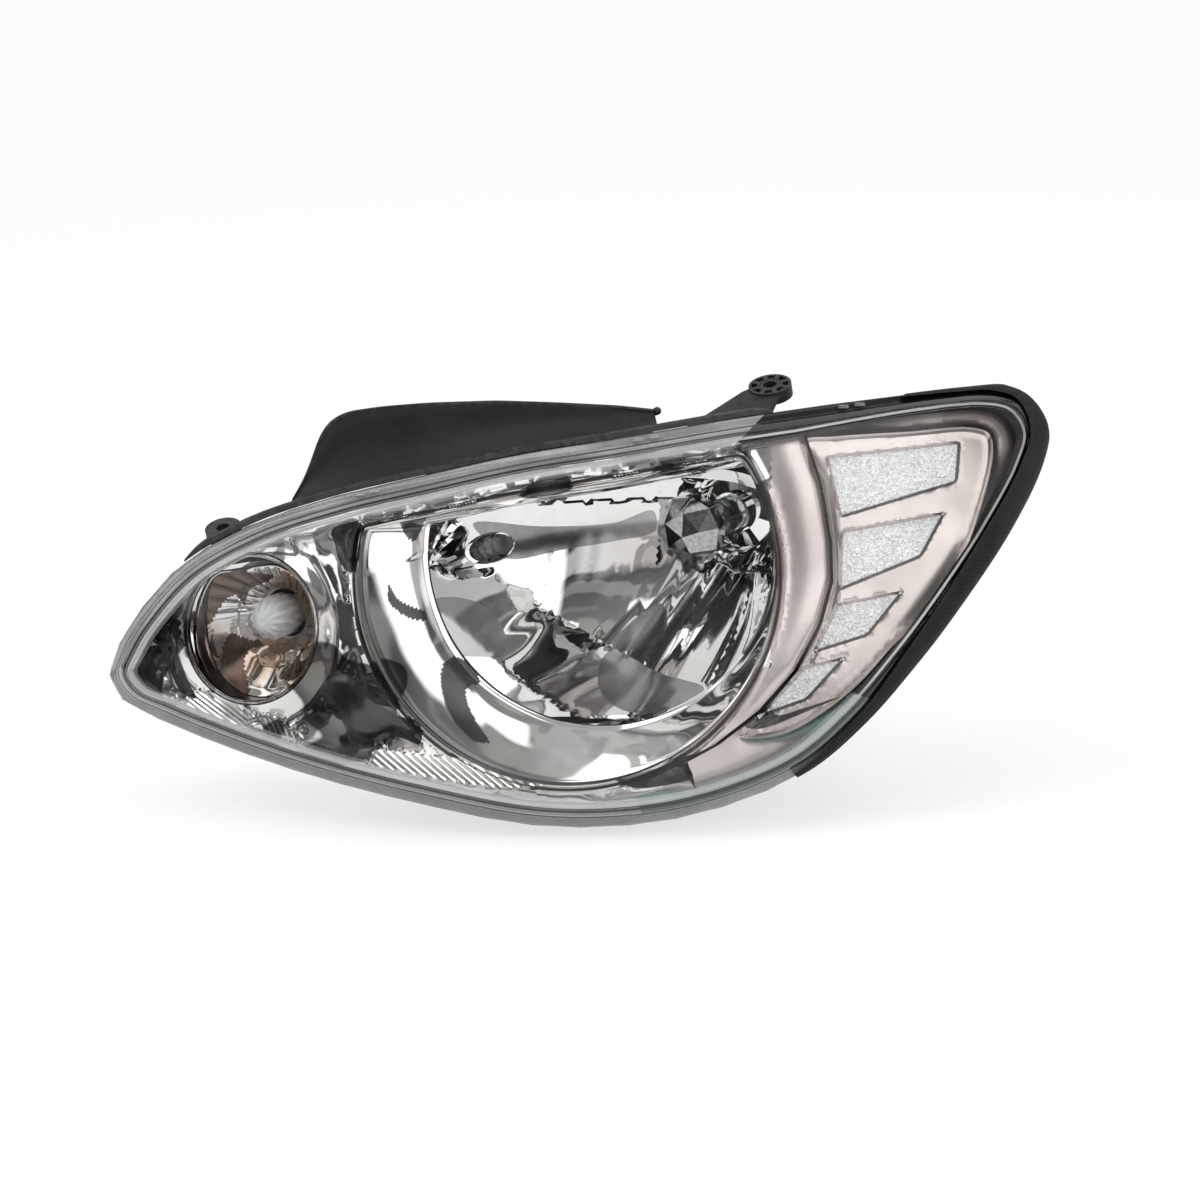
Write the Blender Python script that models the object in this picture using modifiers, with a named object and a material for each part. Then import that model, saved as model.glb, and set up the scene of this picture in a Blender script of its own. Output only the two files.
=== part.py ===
"""Left-hand car headlamp assembly, built as the separate pieces it comes apart into.

Frame: +Z up, -Y the way the beams shine, +X towards the outer side of the car.
The clear front cover wraps round the wing, so it is designed in a face frame that is swept
round by SWEEP and leaned back by RAKE; a place there is (across, deep, up). The optics are
designed along Y in the design frame. All numbers are millimetres; MM turns them into metres.
"""

import math

import bmesh
import bpy
import numpy as np
from mathutils import Matrix, Vector

MM = 0.001

# ---------------------------------------------------------------- driving dimensions
SWEEP = math.radians(30.0)      # how far the face is turned outwards
RAKE = math.radians(14.0)       # how far the face leans back
CROWN_ACROSS, CROWN_UP = 0.0012, 0.0014     # crown of the cover along and up the face
CROWN_CENTRE = -25.0            # across and up, where the crown is foremost
ORIGIN = (-47.212, 81.585, -12.349)    # design-frame point that becomes the part's origin

LENS_THICKNESS = 2.4
WALL = 2.5                      # housing wall
BACK_Y = 172.0                  # outer face of the housing's back wall
BEAM_X, BEAM_Z = 8.5, 18.5      # main optical axis, along Y
APEX_Y = 141.0                  # apex of the main reflector
FOCAL = 32.0
SEAT_Y = 145.5                  # bulb reference plane
BULB_HOLE_RADIUS = 20.5
BALL_Y = 132.0                  # plane of the three ball joints
BALL_RADIUS = 4.6
LEG_END = BALL_Y - 6.0          # rear end of the reflector's three legs
PIVOT_X, PIVOT_Z = -85.0, 30.0
AIM_X = 62.0                    # side ball, level with the pivot
LEVEL_Z = -62.0                 # lower ball, straight below the pivot
ACCESS_RADIUS = 33.0            # bulb access opening
COLLAR_END = BACK_Y + 9.0       # rear end of the collar round it
TURN_X, TURN_Z = -151.0, -17.0  # turn lamp axis, along Y
TURN_APEX = -21.0
TURN_FOCAL = 15.5
POSITION_X, POSITION_Z = -88.0, 4.0     # position lamp axis, along Y
CONNECTOR_X, CONNECTOR_Z = -26.0, -66.0
VENTS = [(-92.0, -12.0), (30.0, -66.0)]     # (x, z)
GLASS_WALL = 1.0                # bulb glass

# Outline of the cover's flange: (across, up), clockwise seen from the front, from the inner tip.
OUTLINE = [
    (-226, -33), (-222, -21), (-213, -6), (-191, 18), (-158, 36.5), (-119, 49.5), (-74, 60.0),
    (-28, 70.0), (19, 77.5), (71, 86.5), (131, 95.5), (182, 102.5), (203, 103.8), (217, 99.0),
    (224.5, 86), (221.5, 70), (204, 36.4), (177.5, -2.6), (158.0, -28.0), (135.0, -54.6),
    (108, -77.6), (69, -94.4), (29.8, -102.6), (-19, -103.4), (-77, -92.6), (-138.6, -76.2),
    (-200, -53.5), (-220, -43.5),
]
RIM_COUNT = 48                  # points round the resampled outline
SPLINE_STEPS = 24               # points per span of the outline's spline
BEND_WEIGHT = 12.0              # how strongly rim points gather where the outline bends


# ---------------------------------------------------------------- frames and curves
FACE_MATRIX = Matrix.Rotation(SWEEP, 4, "Z") @ Matrix.Rotation(-RAKE, 4, "X")
FACE = np.array(FACE_MATRIX.to_3x3())


def to_design(points):
    """(across, deep, up) in the face frame to the design frame."""
    return np.asarray(points, float) @ FACE.T


def crown(across, up):
    return CROWN_ACROSS * (across - CROWN_CENTRE) ** 2 + CROWN_UP * (up - CROWN_CENTRE) ** 2


def face_point(across, up, behind):
    """Design-frame place of a point that lies behind the cover's surface."""
    return to_design((across, crown(across, up) + behind, up))


def y_on_face(x, z, depth):
    """The y at which the line through (x, z) along Y is depth behind the cover's surface."""
    y = 30.0
    for _ in range(40):
        across, deep, up = np.array([x, y, z]) @ FACE
        y += (depth - (deep - crown(across, up))) * 0.9
    return y


def blend(t, start, end, first, last):
    return (end - t) / (end - start) * first + (t - start) / (end - start) * last


def closed_spline(control):
    """Centripetal Catmull-Rom through the control points, closed."""
    control = np.array(control, float)
    out = []
    for i in range(len(control)):
        points = [control[(i + k) % len(control)] for k in (-1, 0, 1, 2)]
        knots = [0.0]
        for k in range(3):
            knots.append(knots[-1] + np.linalg.norm(points[k + 1] - points[k]) ** 0.5)
        for t in np.linspace(knots[1], knots[2], SPLINE_STEPS, endpoint=False):
            low = [blend(t, knots[k], knots[k + 1], points[k], points[k + 1]) for k in range(3)]
            high = [blend(t, knots[k], knots[k + 2], low[k], low[k + 1]) for k in range(2)]
            out.append(blend(t, knots[1], knots[2], *high))
    return np.array(out)


def resample(curve, count):
    """count points round the closed curve, closer together where it bends."""
    loop = np.vstack([curve, curve[:1]])
    steps = np.diff(loop, axis=0)
    length = np.linalg.norm(steps, axis=1)
    tangent = steps / length[:, None]
    turn = np.arccos(np.clip((tangent * np.roll(tangent, 1, axis=0)).sum(1), -1, 1))
    bend = turn / ((length + np.roll(length, 1)) / 2)
    bend = np.convolve(np.r_[bend[-8:], bend, bend[:8]], np.ones(9) / 9, "same")[8:-8]
    weight = length * (1 + BEND_WEIGHT * (bend + np.roll(bend, -1)) / 2)
    travel = np.r_[0, np.cumsum(weight)]
    wanted = np.linspace(0, travel[-1], count, endpoint=False)
    return np.column_stack([np.interp(wanted, travel, column) for column in loop.T])


RIM = resample(closed_spline(OUTLINE), RIM_COUNT)


def offset_rim(offset):
    """The rim moved out (positive) or in, measured square to it as far as its tips allow."""
    tangent = np.roll(RIM, -1, axis=0) - np.roll(RIM, 1, axis=0)
    tangent /= np.linalg.norm(tangent, axis=1)[:, None]
    normal = np.column_stack([-tangent[:, 1], tangent[:, 0]])
    radial = RIM / np.linalg.norm(RIM, axis=1)[:, None]
    square = np.maximum(np.abs((normal * radial).sum(1)), 0.5)
    return RIM + radial * (offset / square)[:, None]


def face_ring(outline, depth):
    """The (across, up) outline as a face-frame ring, depth behind the cover."""
    across, up = np.asarray(outline).T
    return np.column_stack([across, crown(across, up) + depth, up])


def rim_ring(offset, depth, scale=1.0):
    return face_ring(offset_rim(offset) * scale, depth)


def top_edge(offset, above, inner_x, inner_above):
    """Upper side of the offset rim as (across values, up values), from the inner end.

    It keeps what is higher than above, and inward of inner_x what is higher than inner_above.
    """
    edge = offset_rim(offset)
    across, up = edge.T
    edge = edge[(up > above) | ((across < inner_x) & (up > inner_above))]
    return edge[np.argsort(edge[:, 0])].T


def squared_circle(exponent, count):
    """Cosines and sines round a turn, raised to exponent with their signs kept."""
    turn = np.linspace(0, 2 * math.pi, count, endpoint=False)
    return [np.sign(v) * np.abs(v) ** exponent for v in (np.cos(turn), np.sin(turn))]


def oval(x, z, half_x, half_z, power, grow=0.0, count=40):
    """Superellipse in the XZ plane."""
    cosine, sine = squared_circle(2 / power, count)
    return np.column_stack([x + (half_x + grow) * cosine, z + (half_z + grow) * sine])


def ring_on_face(outline, depth):
    """The (x, z) outline carried along Y to depth behind the cover."""
    return np.array([(x, y_on_face(x, z, depth), z) for x, z in outline])


def ring_at(outline, y):
    return np.array([(x, y, z) for x, z in outline])


def subdivide(points):
    """Three evenly spaced points for each span, without the last end."""
    points = np.array(points, float)
    return [start * (1 - t) + end * t for start, end in zip(points[:-1], points[1:])
            for t in np.linspace(0, 1, 3, endpoint=False)]


def bent(points, reach, count=4):
    """The points with each inner corner rounded into a short arc of count points."""
    points = [np.array(point, float) for point in points]
    out = [points[0]]
    for i in range(1, len(points) - 1):
        corner = points[i]
        before, after = points[i - 1] - corner, points[i + 1] - corner
        length_before, length_after = np.linalg.norm(before), np.linalg.norm(after)
        cut_back = min(reach, 0.45 * length_before, 0.45 * length_after)
        start = corner + before / length_before * cut_back
        end = corner + after / length_after * cut_back
        for t in np.linspace(0, 1, count):
            out.append((1 - t) ** 2 * start + 2 * t * (1 - t) * corner + t * t * end)
    out.append(points[-1])
    return out


# ---------------------------------------------------------------- scene and materials
for old in list(bpy.data.objects):
    bpy.data.objects.remove(old, do_unlink=True)

parts = bpy.data.collections.new("car_headlamp")
cutters = bpy.data.collections.new("cutters")
bpy.context.scene.collection.children.link(parts)
bpy.context.scene.collection.children.link(cutters)
cutters.hide_render = True

root = bpy.data.objects.new("lamp_origin", None)
parts.objects.link(root)
root.location = Vector([-c * MM for c in ORIGIN])
face_frame = bpy.data.objects.new("face_frame", None)
parts.objects.link(face_frame)
face_frame.parent = root
face_frame.rotation_euler = FACE_MATRIX.to_euler()

# finish: (base colour, roughness, metallic)
FINISH = {
    "clear": ((0.93, 0.95, 0.96), 0.05, 0.0),
    "black_plastic": ((0.03, 0.03, 0.032), 0.45, 0.0),
    "chrome": ((0.80, 0.79, 0.78), 0.08, 1.0),
    "rubber": ((0.02, 0.02, 0.02), 0.75, 0.0),
    "sealant": ((0.05, 0.05, 0.055), 0.6, 0.0),
    "steel": ((0.62, 0.62, 0.63), 0.3, 1.0),
    "brass": ((0.72, 0.58, 0.30), 0.3, 1.0),
    "glass": ((0.95, 0.97, 0.98), 0.02, 0.0),
    "tungsten": ((0.35, 0.35, 0.36), 0.4, 1.0),
    "nylon": ((0.86, 0.85, 0.80), 0.5, 0.0),
    "grey_plastic": ((0.25, 0.26, 0.27), 0.5, 0.0),
    "wire_black": ((0.02, 0.02, 0.02), 0.5, 0.0),
}
materials = {}


def material(name):
    if name not in materials:
        made = bpy.data.materials.new(name)
        made.use_nodes = True
        shader = made.node_tree.nodes["Principled BSDF"]
        colour, roughness, metallic = FINISH[name]
        shader.inputs["Base Color"].default_value = (*colour, 1)
        shader.inputs["Roughness"].default_value = roughness
        shader.inputs["Metallic"].default_value = metallic
        materials[name] = made
    return materials[name]


# ---------------------------------------------------------------- solids
ALONG_Y = (-math.pi / 2, 0, 0)      # turns a shape made along Z to lie along +Y
ALONG_Z = (0, 0, 0)


def add(name, data, finish=None, origin=(0, 0, 0), face=False, cutter=False, rot=(0, 0, 0)):
    """An object in the design frame or the face frame; a cutter is a hidden helper."""
    ob = bpy.data.objects.new(name, data)
    (cutters if cutter else parts).objects.link(ob)
    ob.parent = face_frame if face else root
    ob.location = Vector(origin) * MM
    ob.rotation_euler = rot
    if cutter:
        ob.hide_render = True
        ob.display_type = "WIRE"
    else:
        ob.data.materials.append(material(finish))
    return ob


def mesh_from(name, verts, faces, origin=(0, 0, 0), smooth=True):
    """A closed mesh from points in mm, its faces turned outwards and its polygons split."""
    bm = bmesh.new()
    origin = np.array(origin, float)
    made = [bm.verts.new(tuple((np.array(vert) - origin) * MM)) for vert in verts]
    for face in faces:
        bm.faces.new([made[i] for i in face])
    bmesh.ops.recalc_face_normals(bm, faces=bm.faces[:])
    polygons = [face for face in bm.faces if len(face.verts) > 4]
    if polygons:
        bmesh.ops.triangulate(bm, faces=polygons)
    mesh = bpy.data.meshes.new(name)
    bm.to_mesh(mesh)
    bm.free()
    if smooth:
        mesh.shade_smooth()
        mesh.set_sharp_from_angle(angle=math.radians(35))
    return mesh


def loft(name, rings, finish=None, origin=(0, 0, 0), face=False, cutter=False, closed=False):
    """A skin over the rings, capped at both ends or joined into a loop."""
    count = len(rings[0])
    verts = [tuple(point) for ring in rings for point in ring]
    faces = []
    for i in range(len(rings) if closed else len(rings) - 1):
        here, there = i * count, (i + 1) % len(rings) * count
        for j in range(count):
            k = (j + 1) % count
            faces.append((here + j, here + k, there + k))
            faces.append((here + j, there + k, there + j))
    if not closed:
        for i in (0, len(rings) - 1):
            centre = len(verts)
            verts.append(tuple(np.mean(np.array(rings[i]), axis=0)))
            faces += [(i * count + j, i * count + (j + 1) % count, centre)
                      for j in range(count)]
    return add(name, mesh_from(name, verts, faces, origin), finish, origin, face, cutter)


def lathe(name, profile, at, finish=None, steps=24, rot=ALONG_Y, face=False, flat=False,
          cutter=False):
    """A turned shape from (radius, position along the axis from at)."""
    points = np.array(profile, float)
    following = np.roll(points, -1, axis=0)
    if np.sum(points[:, 0] * following[:, 1] - following[:, 0] * points[:, 1]) > 0:
        points = points[::-1]
    if (points[:, 0] < 1e-6).sum() >= 2:
        # open the profile along the axis
        while not (points[0, 0] < 1e-6 and points[-1, 0] < 1e-6):
            points = np.roll(points, -1, axis=0)
        edges = [(i, i + 1) for i in range(len(points) - 1)]
    else:
        edges = [(i, (i + 1) % len(points)) for i in range(len(points))]
    mesh = bpy.data.meshes.new(name)
    mesh.from_pydata([(radius * MM, 0, along * MM) for radius, along in points], edges, [])
    ob = add(name, mesh, finish, at, face, cutter, rot)
    screw = ob.modifiers.new("turn", "SCREW")
    screw.axis = "Z"
    screw.angle = 2 * math.pi
    screw.steps = steps
    screw.render_steps = steps
    screw.use_merge_vertices = True
    screw.merge_threshold = 0.00001
    screw.use_smooth_shade = not flat
    return ob


def tube(inner, outer, start, end):
    """Profile of a plain tube."""
    return [(inner, start), (outer, start), (outer, end), (inner, end)]


def cone(start_radius, end_radius, start, end):
    return [(0, start), (start_radius, start), (end_radius, end), (0, end)]


def nose(radius, start, length):
    """Profile of a rounded nose, from its full radius forward to the axis."""
    return [(radius * math.cos(t), start - length * math.sin(t))
            for t in np.linspace(0, math.pi / 2, 5)]


def bake(ob):
    """Puts the object's evaluated mesh, closed and facing out, in place of its modifiers."""
    bpy.context.view_layer.update()
    graph = bpy.context.evaluated_depsgraph_get()
    mesh = bpy.data.meshes.new_from_object(ob.evaluated_get(graph))
    bm = bmesh.new()
    bm.from_mesh(mesh)
    bmesh.ops.remove_doubles(bm, verts=bm.verts[:], dist=1e-6)
    bmesh.ops.recalc_face_normals(bm, faces=bm.faces[:])
    bm.to_mesh(mesh)
    bm.free()
    ob.modifiers.clear()
    ob.data = mesh
    return ob


def around(x, z, half_x, half_z, start, end):
    """Two corners of a box centred on (x, z) that runs along Y from start to end."""
    return (x - half_x, start, z - half_z), (x + half_x, end, z + half_z)


def box(name, low, high, finish=None, bevel=0.0, cutter=False):
    """A box between two corners, given in the design frame."""
    low, high = np.array(low, float), np.array(high, float)
    bm = bmesh.new()
    bmesh.ops.create_cube(bm, size=1.0)
    for vert in bm.verts:
        vert.co = Vector(np.array(vert.co) * (high - low) * MM)
    mesh = bpy.data.meshes.new(name)
    bm.to_mesh(mesh)
    bm.free()
    ob = add(name, mesh, finish, tuple((low + high) / 2), cutter=cutter)
    if bevel:
        rounding = ob.modifiers.new("round", "BEVEL")
        rounding.width = bevel * MM
        rounding.segments = 2
        rounding.limit_method = "ANGLE"
    return ob


def wire(name, points, radius, finish, origin=(0, 0, 0), sides=0):
    """A wire or tube along straight runs between points; sides is the bevel resolution."""
    curve = bpy.data.curves.new(name, "CURVE")
    curve.dimensions = "3D"
    curve.bevel_depth = radius * MM
    curve.bevel_resolution = sides
    curve.use_fill_caps = True
    spline = curve.splines.new("POLY")
    spline.points.add(len(points) - 1)
    for knot, point in zip(spline.points, points):
        knot.co = (*((np.array(point, float) - np.array(origin, float)) * MM), 1)
    return add(name, curve, finish, origin)


# ---------------------------------------------------------------- joining and cutting
def combine(target, other, operation, solver="EXACT"):
    modifier = target.modifiers.new(operation.lower(), "BOOLEAN")
    modifier.operation = operation
    modifier.object = other
    modifier.solver = solver


def join(target, other):
    combine(target, other, "UNION")


def cut(target, other, solver="EXACT"):
    combine(target, other, "DIFFERENCE", solver)


def turned_cutter(name, profile, at, steps, rot=ALONG_Y, face=False):
    return bake(lathe(name, profile, at, steps=steps, rot=rot, face=face, cutter=True))


def box_cutter(name, low, high, bevel=0.0):
    cutter = box(name, low, high, bevel=bevel, cutter=True)
    return bake(cutter) if bevel else cutter


def bore(target, name, radius, start, end, at, steps, solver="EXACT", **placing):
    hole = tube(0, radius, start, end)
    cut(target, turned_cutter(name, hole, at, steps, **placing), solver)


# ---------------------------------------------------------------- front cover
# (rim offset, depth, scale): skirt end to middle outside, then middle to skirt end inside
LENS_OUTSIDE = [
    (-1.2, 27.0, 1), (-1.2, 14.0, 1), (-2.4, 6.0, 1), (-6.2, 1.4, 1), (-10, 0.0, 1),
    (-10, 0.0, 0.8), (-10, 0.0, 0.55), (-10, 0.0, 0.3), (-10, 0.0, 0.12),
]
LENS_INSIDE = [
    (-10, LENS_THICKNESS, 0.12), (-10, LENS_THICKNESS, 0.3), (-10, LENS_THICKNESS, 0.55),
    (-10, LENS_THICKNESS, 0.8), (-11.5, LENS_THICKNESS, 1), (-7.8, LENS_THICKNESS + 1.6, 1),
    (-4.9, 8.0, 1), (-3.6, 15.0, 1), (-3.6, 27.0, 1),
]


def build_lens():
    """The cover's skin: out over the face and back inside, joined at the end of the skirt."""
    rings = [rim_ring(*row) for row in LENS_OUTSIDE + LENS_INSIDE]
    outside_last = len(LENS_OUTSIDE) - 1
    verts = [tuple(point) for ring in rings for point in ring]
    faces = []
    for i in range(len(rings)):
        if i == outside_last:
            continue
        here, there = i * RIM_COUNT, (i + 1) % len(rings) * RIM_COUNT
        for j in range(RIM_COUNT):
            k = (j + 1) % RIM_COUNT
            faces.append((here + j, here + k, there + k, there + j))
    for i, depth in ((outside_last, 0.0), (outside_last + 1, LENS_THICKNESS)):
        centre = len(verts)
        verts.append((0.0, float(crown(0, 0)) + depth, 0.0))
        for j in range(RIM_COUNT):
            faces.append((i * RIM_COUNT + j, i * RIM_COUNT + (j + 1) % RIM_COUNT, centre))
    add("lens_cover", mesh_from("lens_cover", verts, faces), "clear", face=True)


# ---------------------------------------------------------------- housing
# (rim offset, depth, scale) of the shallow tray, front to back
TRAY_OUTER = [(3.0, 15.0, 0.5), (3.0, 15.0), (3.0, 31.5), (-4.0, 33.5), (-7.5, 50.0),
              (-14.0, 57.5), (-14.0, 59.0, 0.55)]
TRAY_INNER = [(0.7, -25.0, 0.5), (0.7, -25.0), (0.7, 28.8), (-6.6, 30.8), (-10.0, 48.5),
              (-16.5, 55.0), (-16.5, 56.5, 0.55)]
# inside of the deep box
BOX_FRONT = dict(x=-22.0, z=-13.0, half_x=97.0, half_z=75.0, power=2.8)
BOX_BACK = dict(x=-23.5, z=-20.0, half_x=99.0, half_z=63.5, power=4.6)

DOME_RADIUS = ACCESS_RADIUS + 5.0
COLLAR_RADIUS = ACCESS_RADIUS + 2.5
TURN_FLOOR = y_on_face(TURN_X, TURN_Z, 57.0)    # tray floor at the turn lamp
TURN_END = TURN_FLOOR + 12.0                    # rear end of the turn lamp's collar

EAR = face_point(93.0, 104.5, 34.0)
EAR_LEAN = (math.radians(16), 0, 0)
EAR_HOLE_RADIUS = 3.4                           # M6 clearance
EAR_ARM_UP = np.array([0, -0.35, 0.937])
# (x, y, z, half width, half thickness) along the ear's arm
EAR_ARM = [
    (24.0, 96.0, 64.5, 22.0, 6.0), (27.0, 111.0, 74.2, 15.5, 2.9),
    (30.0, 123.0, 81.2, 10.5, 2.4), (EAR[0], EAR[1] + 1.0, EAR[2] + 0.3, 8.0, 2.4),
]
TAB = face_point(-173.0, 36.0, 30.0)
TAB_FOOT = face_point(-160.0, 24.0, 38.0)
TAB_TILT = math.radians(20)
TAB_LEAN = (TAB_TILT, 0, 0)
OUTER_TAB = face_point(186.0, 62.0, 61.0)
FOOT_X, FOOT_Z = -20.0, -92.0

# pads for the bezel's screws: (across, up, deep) in the face frame
BEZEL_SCREWS = [(across, up, float(crown(across, up)) + 63.5)
                for across, up in ((-184.0, -24.0), (165.0, 15.0))]


def arm_ring(centre, half_x, half_up, up):
    """A flat oval section for an arm: half_x along X, half_up along up."""
    cosine, sine = squared_circle(0.55, 12)
    return (np.asarray(centre) + np.outer(cosine, (half_x, 0, 0))
            + np.outer(sine, np.asarray(up) * half_up))


def add_collars_and_bosses(housing):
    pieces = [
        ("access_dome", BEAM_X, BEAM_Z, 36,
         [(0, 130.0), (DOME_RADIUS, 130.0), (DOME_RADIUS, BACK_Y - 1.5),
          (DOME_RADIUS - 1.5, BACK_Y), (COLLAR_RADIUS, BACK_Y), (COLLAR_RADIUS, COLLAR_END),
          (0, COLLAR_END)]),
        ("aim_boss", AIM_X, PIVOT_Z, 16, cone(6.4, 6.0, BACK_Y - 8, BACK_Y + 9)),
        ("pivot_boss", PIVOT_X, PIVOT_Z, 16, cone(6.0, 6.6, BACK_Y - 9, BACK_Y + 2)),
        ("turn_collar", TURN_X, TURN_Z, 24, cone(17.6, 17.2, TURN_FLOOR - 6, TURN_END)),
    ]
    for name, x, z, steps, profile in pieces:
        join(housing, turned_cutter(name, profile, (x, 0, z), steps))


def add_mounts(housing):
    # upper ear: a boss leaning forward a little, on a tapered arm
    arm = [arm_ring(row[:3], row[3], row[4], EAR_ARM_UP) for row in EAR_ARM]
    join(housing, loft("ear_arm", arm, cutter=True))
    boss = tube(0, 10.6, -3.2, 3.2)
    join(housing, turned_cutter("ear_boss", boss, tuple(EAR), 28, rot=EAR_LEAN))

    # tab at the inner end of the flange
    disc = tube(0, 9.0, -2.6, 2.6)
    join(housing, turned_cutter("inner_tab", disc, tuple(TAB), 24, rot=TAB_LEAN))
    tab_axis = (0.0, -math.sin(TAB_TILT), math.cos(TAB_TILT))
    arm = [arm_ring(TAB_FOOT, 9.0, 7.0, (0, -0.3, 0.95)),
           arm_ring(TAB * 0.55 + TAB_FOOT * 0.45, 7.5, 2.6, tab_axis),
           arm_ring(TAB, 7.0, 2.2, tab_axis)]
    join(housing, loft("inner_tab_arm", arm, cutter=True))

    # foot under the deep box, and tab behind the wrapped outer end
    join(housing, box_cutter("lower_foot", (FOOT_X - 16, 118, FOOT_Z - 3.2),
                             (FOOT_X + 16, 160, FOOT_Z + 14), bevel=1.2))
    x, y, z = OUTER_TAB
    join(housing, box_cutter("outer_tab", *around(x, z, 11, 12, y - 10, y + 3), bevel=1.5))

    for i, (across, up, pad) in enumerate(BEZEL_SCREWS):
        post = tube(0, 6.0, pad - 12, pad)
        join(housing, turned_cutter(f"screw_pad_{i}", post, (across, 0, up), 16, face=True))


def cut_bores(housing):
    access = [(0, 126.0), (DOME_RADIUS - WALL, 126.0), (DOME_RADIUS - WALL, BACK_Y - WALL),
              (ACCESS_RADIUS, BACK_Y - WALL), (ACCESS_RADIUS, BACK_Y + 20), (0, BACK_Y + 20)]
    cut(housing, turned_cutter("access_bore", access, (BEAM_X, 0, BEAM_Z), 36), "MANIFOLD")
    x, y, z = OUTER_TAB
    # (name, radius, start, end, place, steps, placing)
    bores = [
        ("aim_bore", 4.2, BACK_Y - 12, BACK_Y + 16, (AIM_X, 0, PIVOT_Z), 16, {}),
        ("level_bore", 8.0, BACK_Y - 12, BACK_Y + 12, (PIVOT_X, 0, LEVEL_Z), 20, {}),
        ("pivot_bore", 3.3, BACK_Y - 20, BACK_Y + 12, (PIVOT_X, 0, PIVOT_Z), 16, {}),
        ("turn_bore", 15.0, TURN_FLOOR - 16, TURN_END + 6, (TURN_X, 0, TURN_Z), 24, {}),
        ("ear_bore", 5.2, -8, 8, tuple(EAR), 20, {"rot": EAR_LEAN}),
        ("tab_bore", 3.4, -8, 8, tuple(TAB), 16, {"rot": TAB_LEAN}),
        ("foot_bore", 4.2, FOOT_Z - 8, FOOT_Z + 11.5, (FOOT_X, 152, 0), 16, {"rot": ALONG_Z}),
        ("outer_tab_bore", 2.6, y - 11, y + 6, (x + 4.5, 0, z + 5), 14, {}),
    ]
    for i, (x, z) in enumerate(VENTS):
        bores.append((f"vent_bore_{i}", 3.3, BACK_Y - 8, BACK_Y + 8, (x, 0, z), 14, {}))
    for i, (across, up, pad) in enumerate(BEZEL_SCREWS):
        bores.append((f"screw_bore_{i}", 2.2, pad - 20, pad + 8, (across, 0, up), 12,
                      {"face": True}))
    for *shape, placing in bores:
        bore(housing, *shape, solver="MANIFOLD", **placing)
    hole = around(CONNECTOR_X, CONNECTOR_Z, 13, 7, BACK_Y - 8, BACK_Y + 8)
    cut(housing, box_cutter("connector_hole", *hole), "MANIFOLD")


def build_housing():
    """Shallow tray behind the cover and deep box round the optics, as one hollow shell."""
    tray_outer = [to_design(rim_ring(*row)) for row in TRAY_OUTER]
    tray_inner = [to_design(rim_ring(*row)) for row in TRAY_INNER]
    box_outer = [ring_on_face(oval(**BOX_FRONT, grow=WALL), 35.5),
                 ring_at(oval(**BOX_BACK, grow=WALL), BACK_Y - 7),
                 ring_at(oval(**BOX_BACK, grow=WALL - 2.2), BACK_Y - 2),
                 ring_at(oval(**BOX_BACK, grow=WALL - 7), BACK_Y)]
    box_inner = [ring_on_face(oval(**BOX_FRONT), 32.0),
                 ring_at(oval(**BOX_BACK), BACK_Y - 8),
                 ring_at(oval(**BOX_BACK, grow=-2.0), BACK_Y - 4.0),
                 ring_at(oval(**BOX_BACK, grow=-6.5), BACK_Y - WALL)]
    housing = loft("rear_housing", tray_outer, "black_plastic")
    join(housing, loft("deep_box_outer", box_outer, cutter=True))
    add_collars_and_bosses(housing)
    add_mounts(housing)
    cut(housing, loft("tray_hollow", tray_inner, cutter=True), "MANIFOLD")
    cut(housing, loft("deep_box_hollow", box_inner, cutter=True), "MANIFOLD")
    cut_bores(housing)
    lathe("ear_sleeve", tube(EAR_HOLE_RADIUS, 4.9, -3.1, 3.1), tuple(EAR), "steel",
          steps=20, rot=EAR_LEAN)


# ---------------------------------------------------------------- seal and edge strip
GASKET_BASE = 3.3       # rim offset of the strip's inner side
# (rim offset, depth) round the strip's section
GASKET_SECTION = [(3.3, 31.0), (5.6, 30.0), (5.9, 18.0), (5.6, 12.5), (3.3, 12.0)]
# how full the section is along the strip: full at the corner, thin lips at both ends
GASKET_AT = (0.0, 0.2, 0.3, 0.5, 0.7, 0.85, 1.0)
GASKET_FULLNESS = (0.3, 0.6, 0.95, 1.0, 0.8, 0.5, 0.25)


def build_sealant():
    """Closed band between the end of the cover's skirt and the housing."""
    corners = ((0.3, 27.4), (0.3, 28.5), (-4.4, 28.5), (-4.4, 27.4))
    rings = [rim_ring(*corner) for corner in corners]
    loft("lens_sealant", rings, "sealant", face=True, closed=True)


def build_edge_gasket():
    """Rubber strip round the outer end: an open band that follows the rim."""
    run = [i for i, (across, up) in enumerate(RIM)
           if across >= 98 and (across >= 146 or up <= 20)]
    along = np.arange(len(run)) / (len(run) - 1)
    fullness = np.interp(along, GASKET_AT, GASKET_FULLNESS)[:, None]
    base = offset_rim(GASKET_BASE)[run]
    lines = [face_ring(base + (offset_rim(offset)[run] - base) * fullness, depth)
             for offset, depth in GASKET_SECTION]
    loft("edge_gasket", np.stack(lines, axis=1), "rubber", face=True)


# ---------------------------------------------------------------- top deflector panel
# (across, up) of its upper edge, from the inner end
PANEL_TOP = [
    (-139.5, 52.0), (-136.5, 56.5), (-133.0, 63.0), (-129.5, 72.0), (-126.0, 82.0),
    (-121.5, 89.0), (-113.5, 93.6), (-96.6, 96.0), (-74, 97.8), (-40, 98.8), (-10.6, 97.8),
    (19.2, 96.3), (36.0, 94.5),
]
PANEL_FOOT = (-141.0, 38.0)     # across, inner and outer end of the lower edge
PANEL_THICKNESS = 2.2


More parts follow.
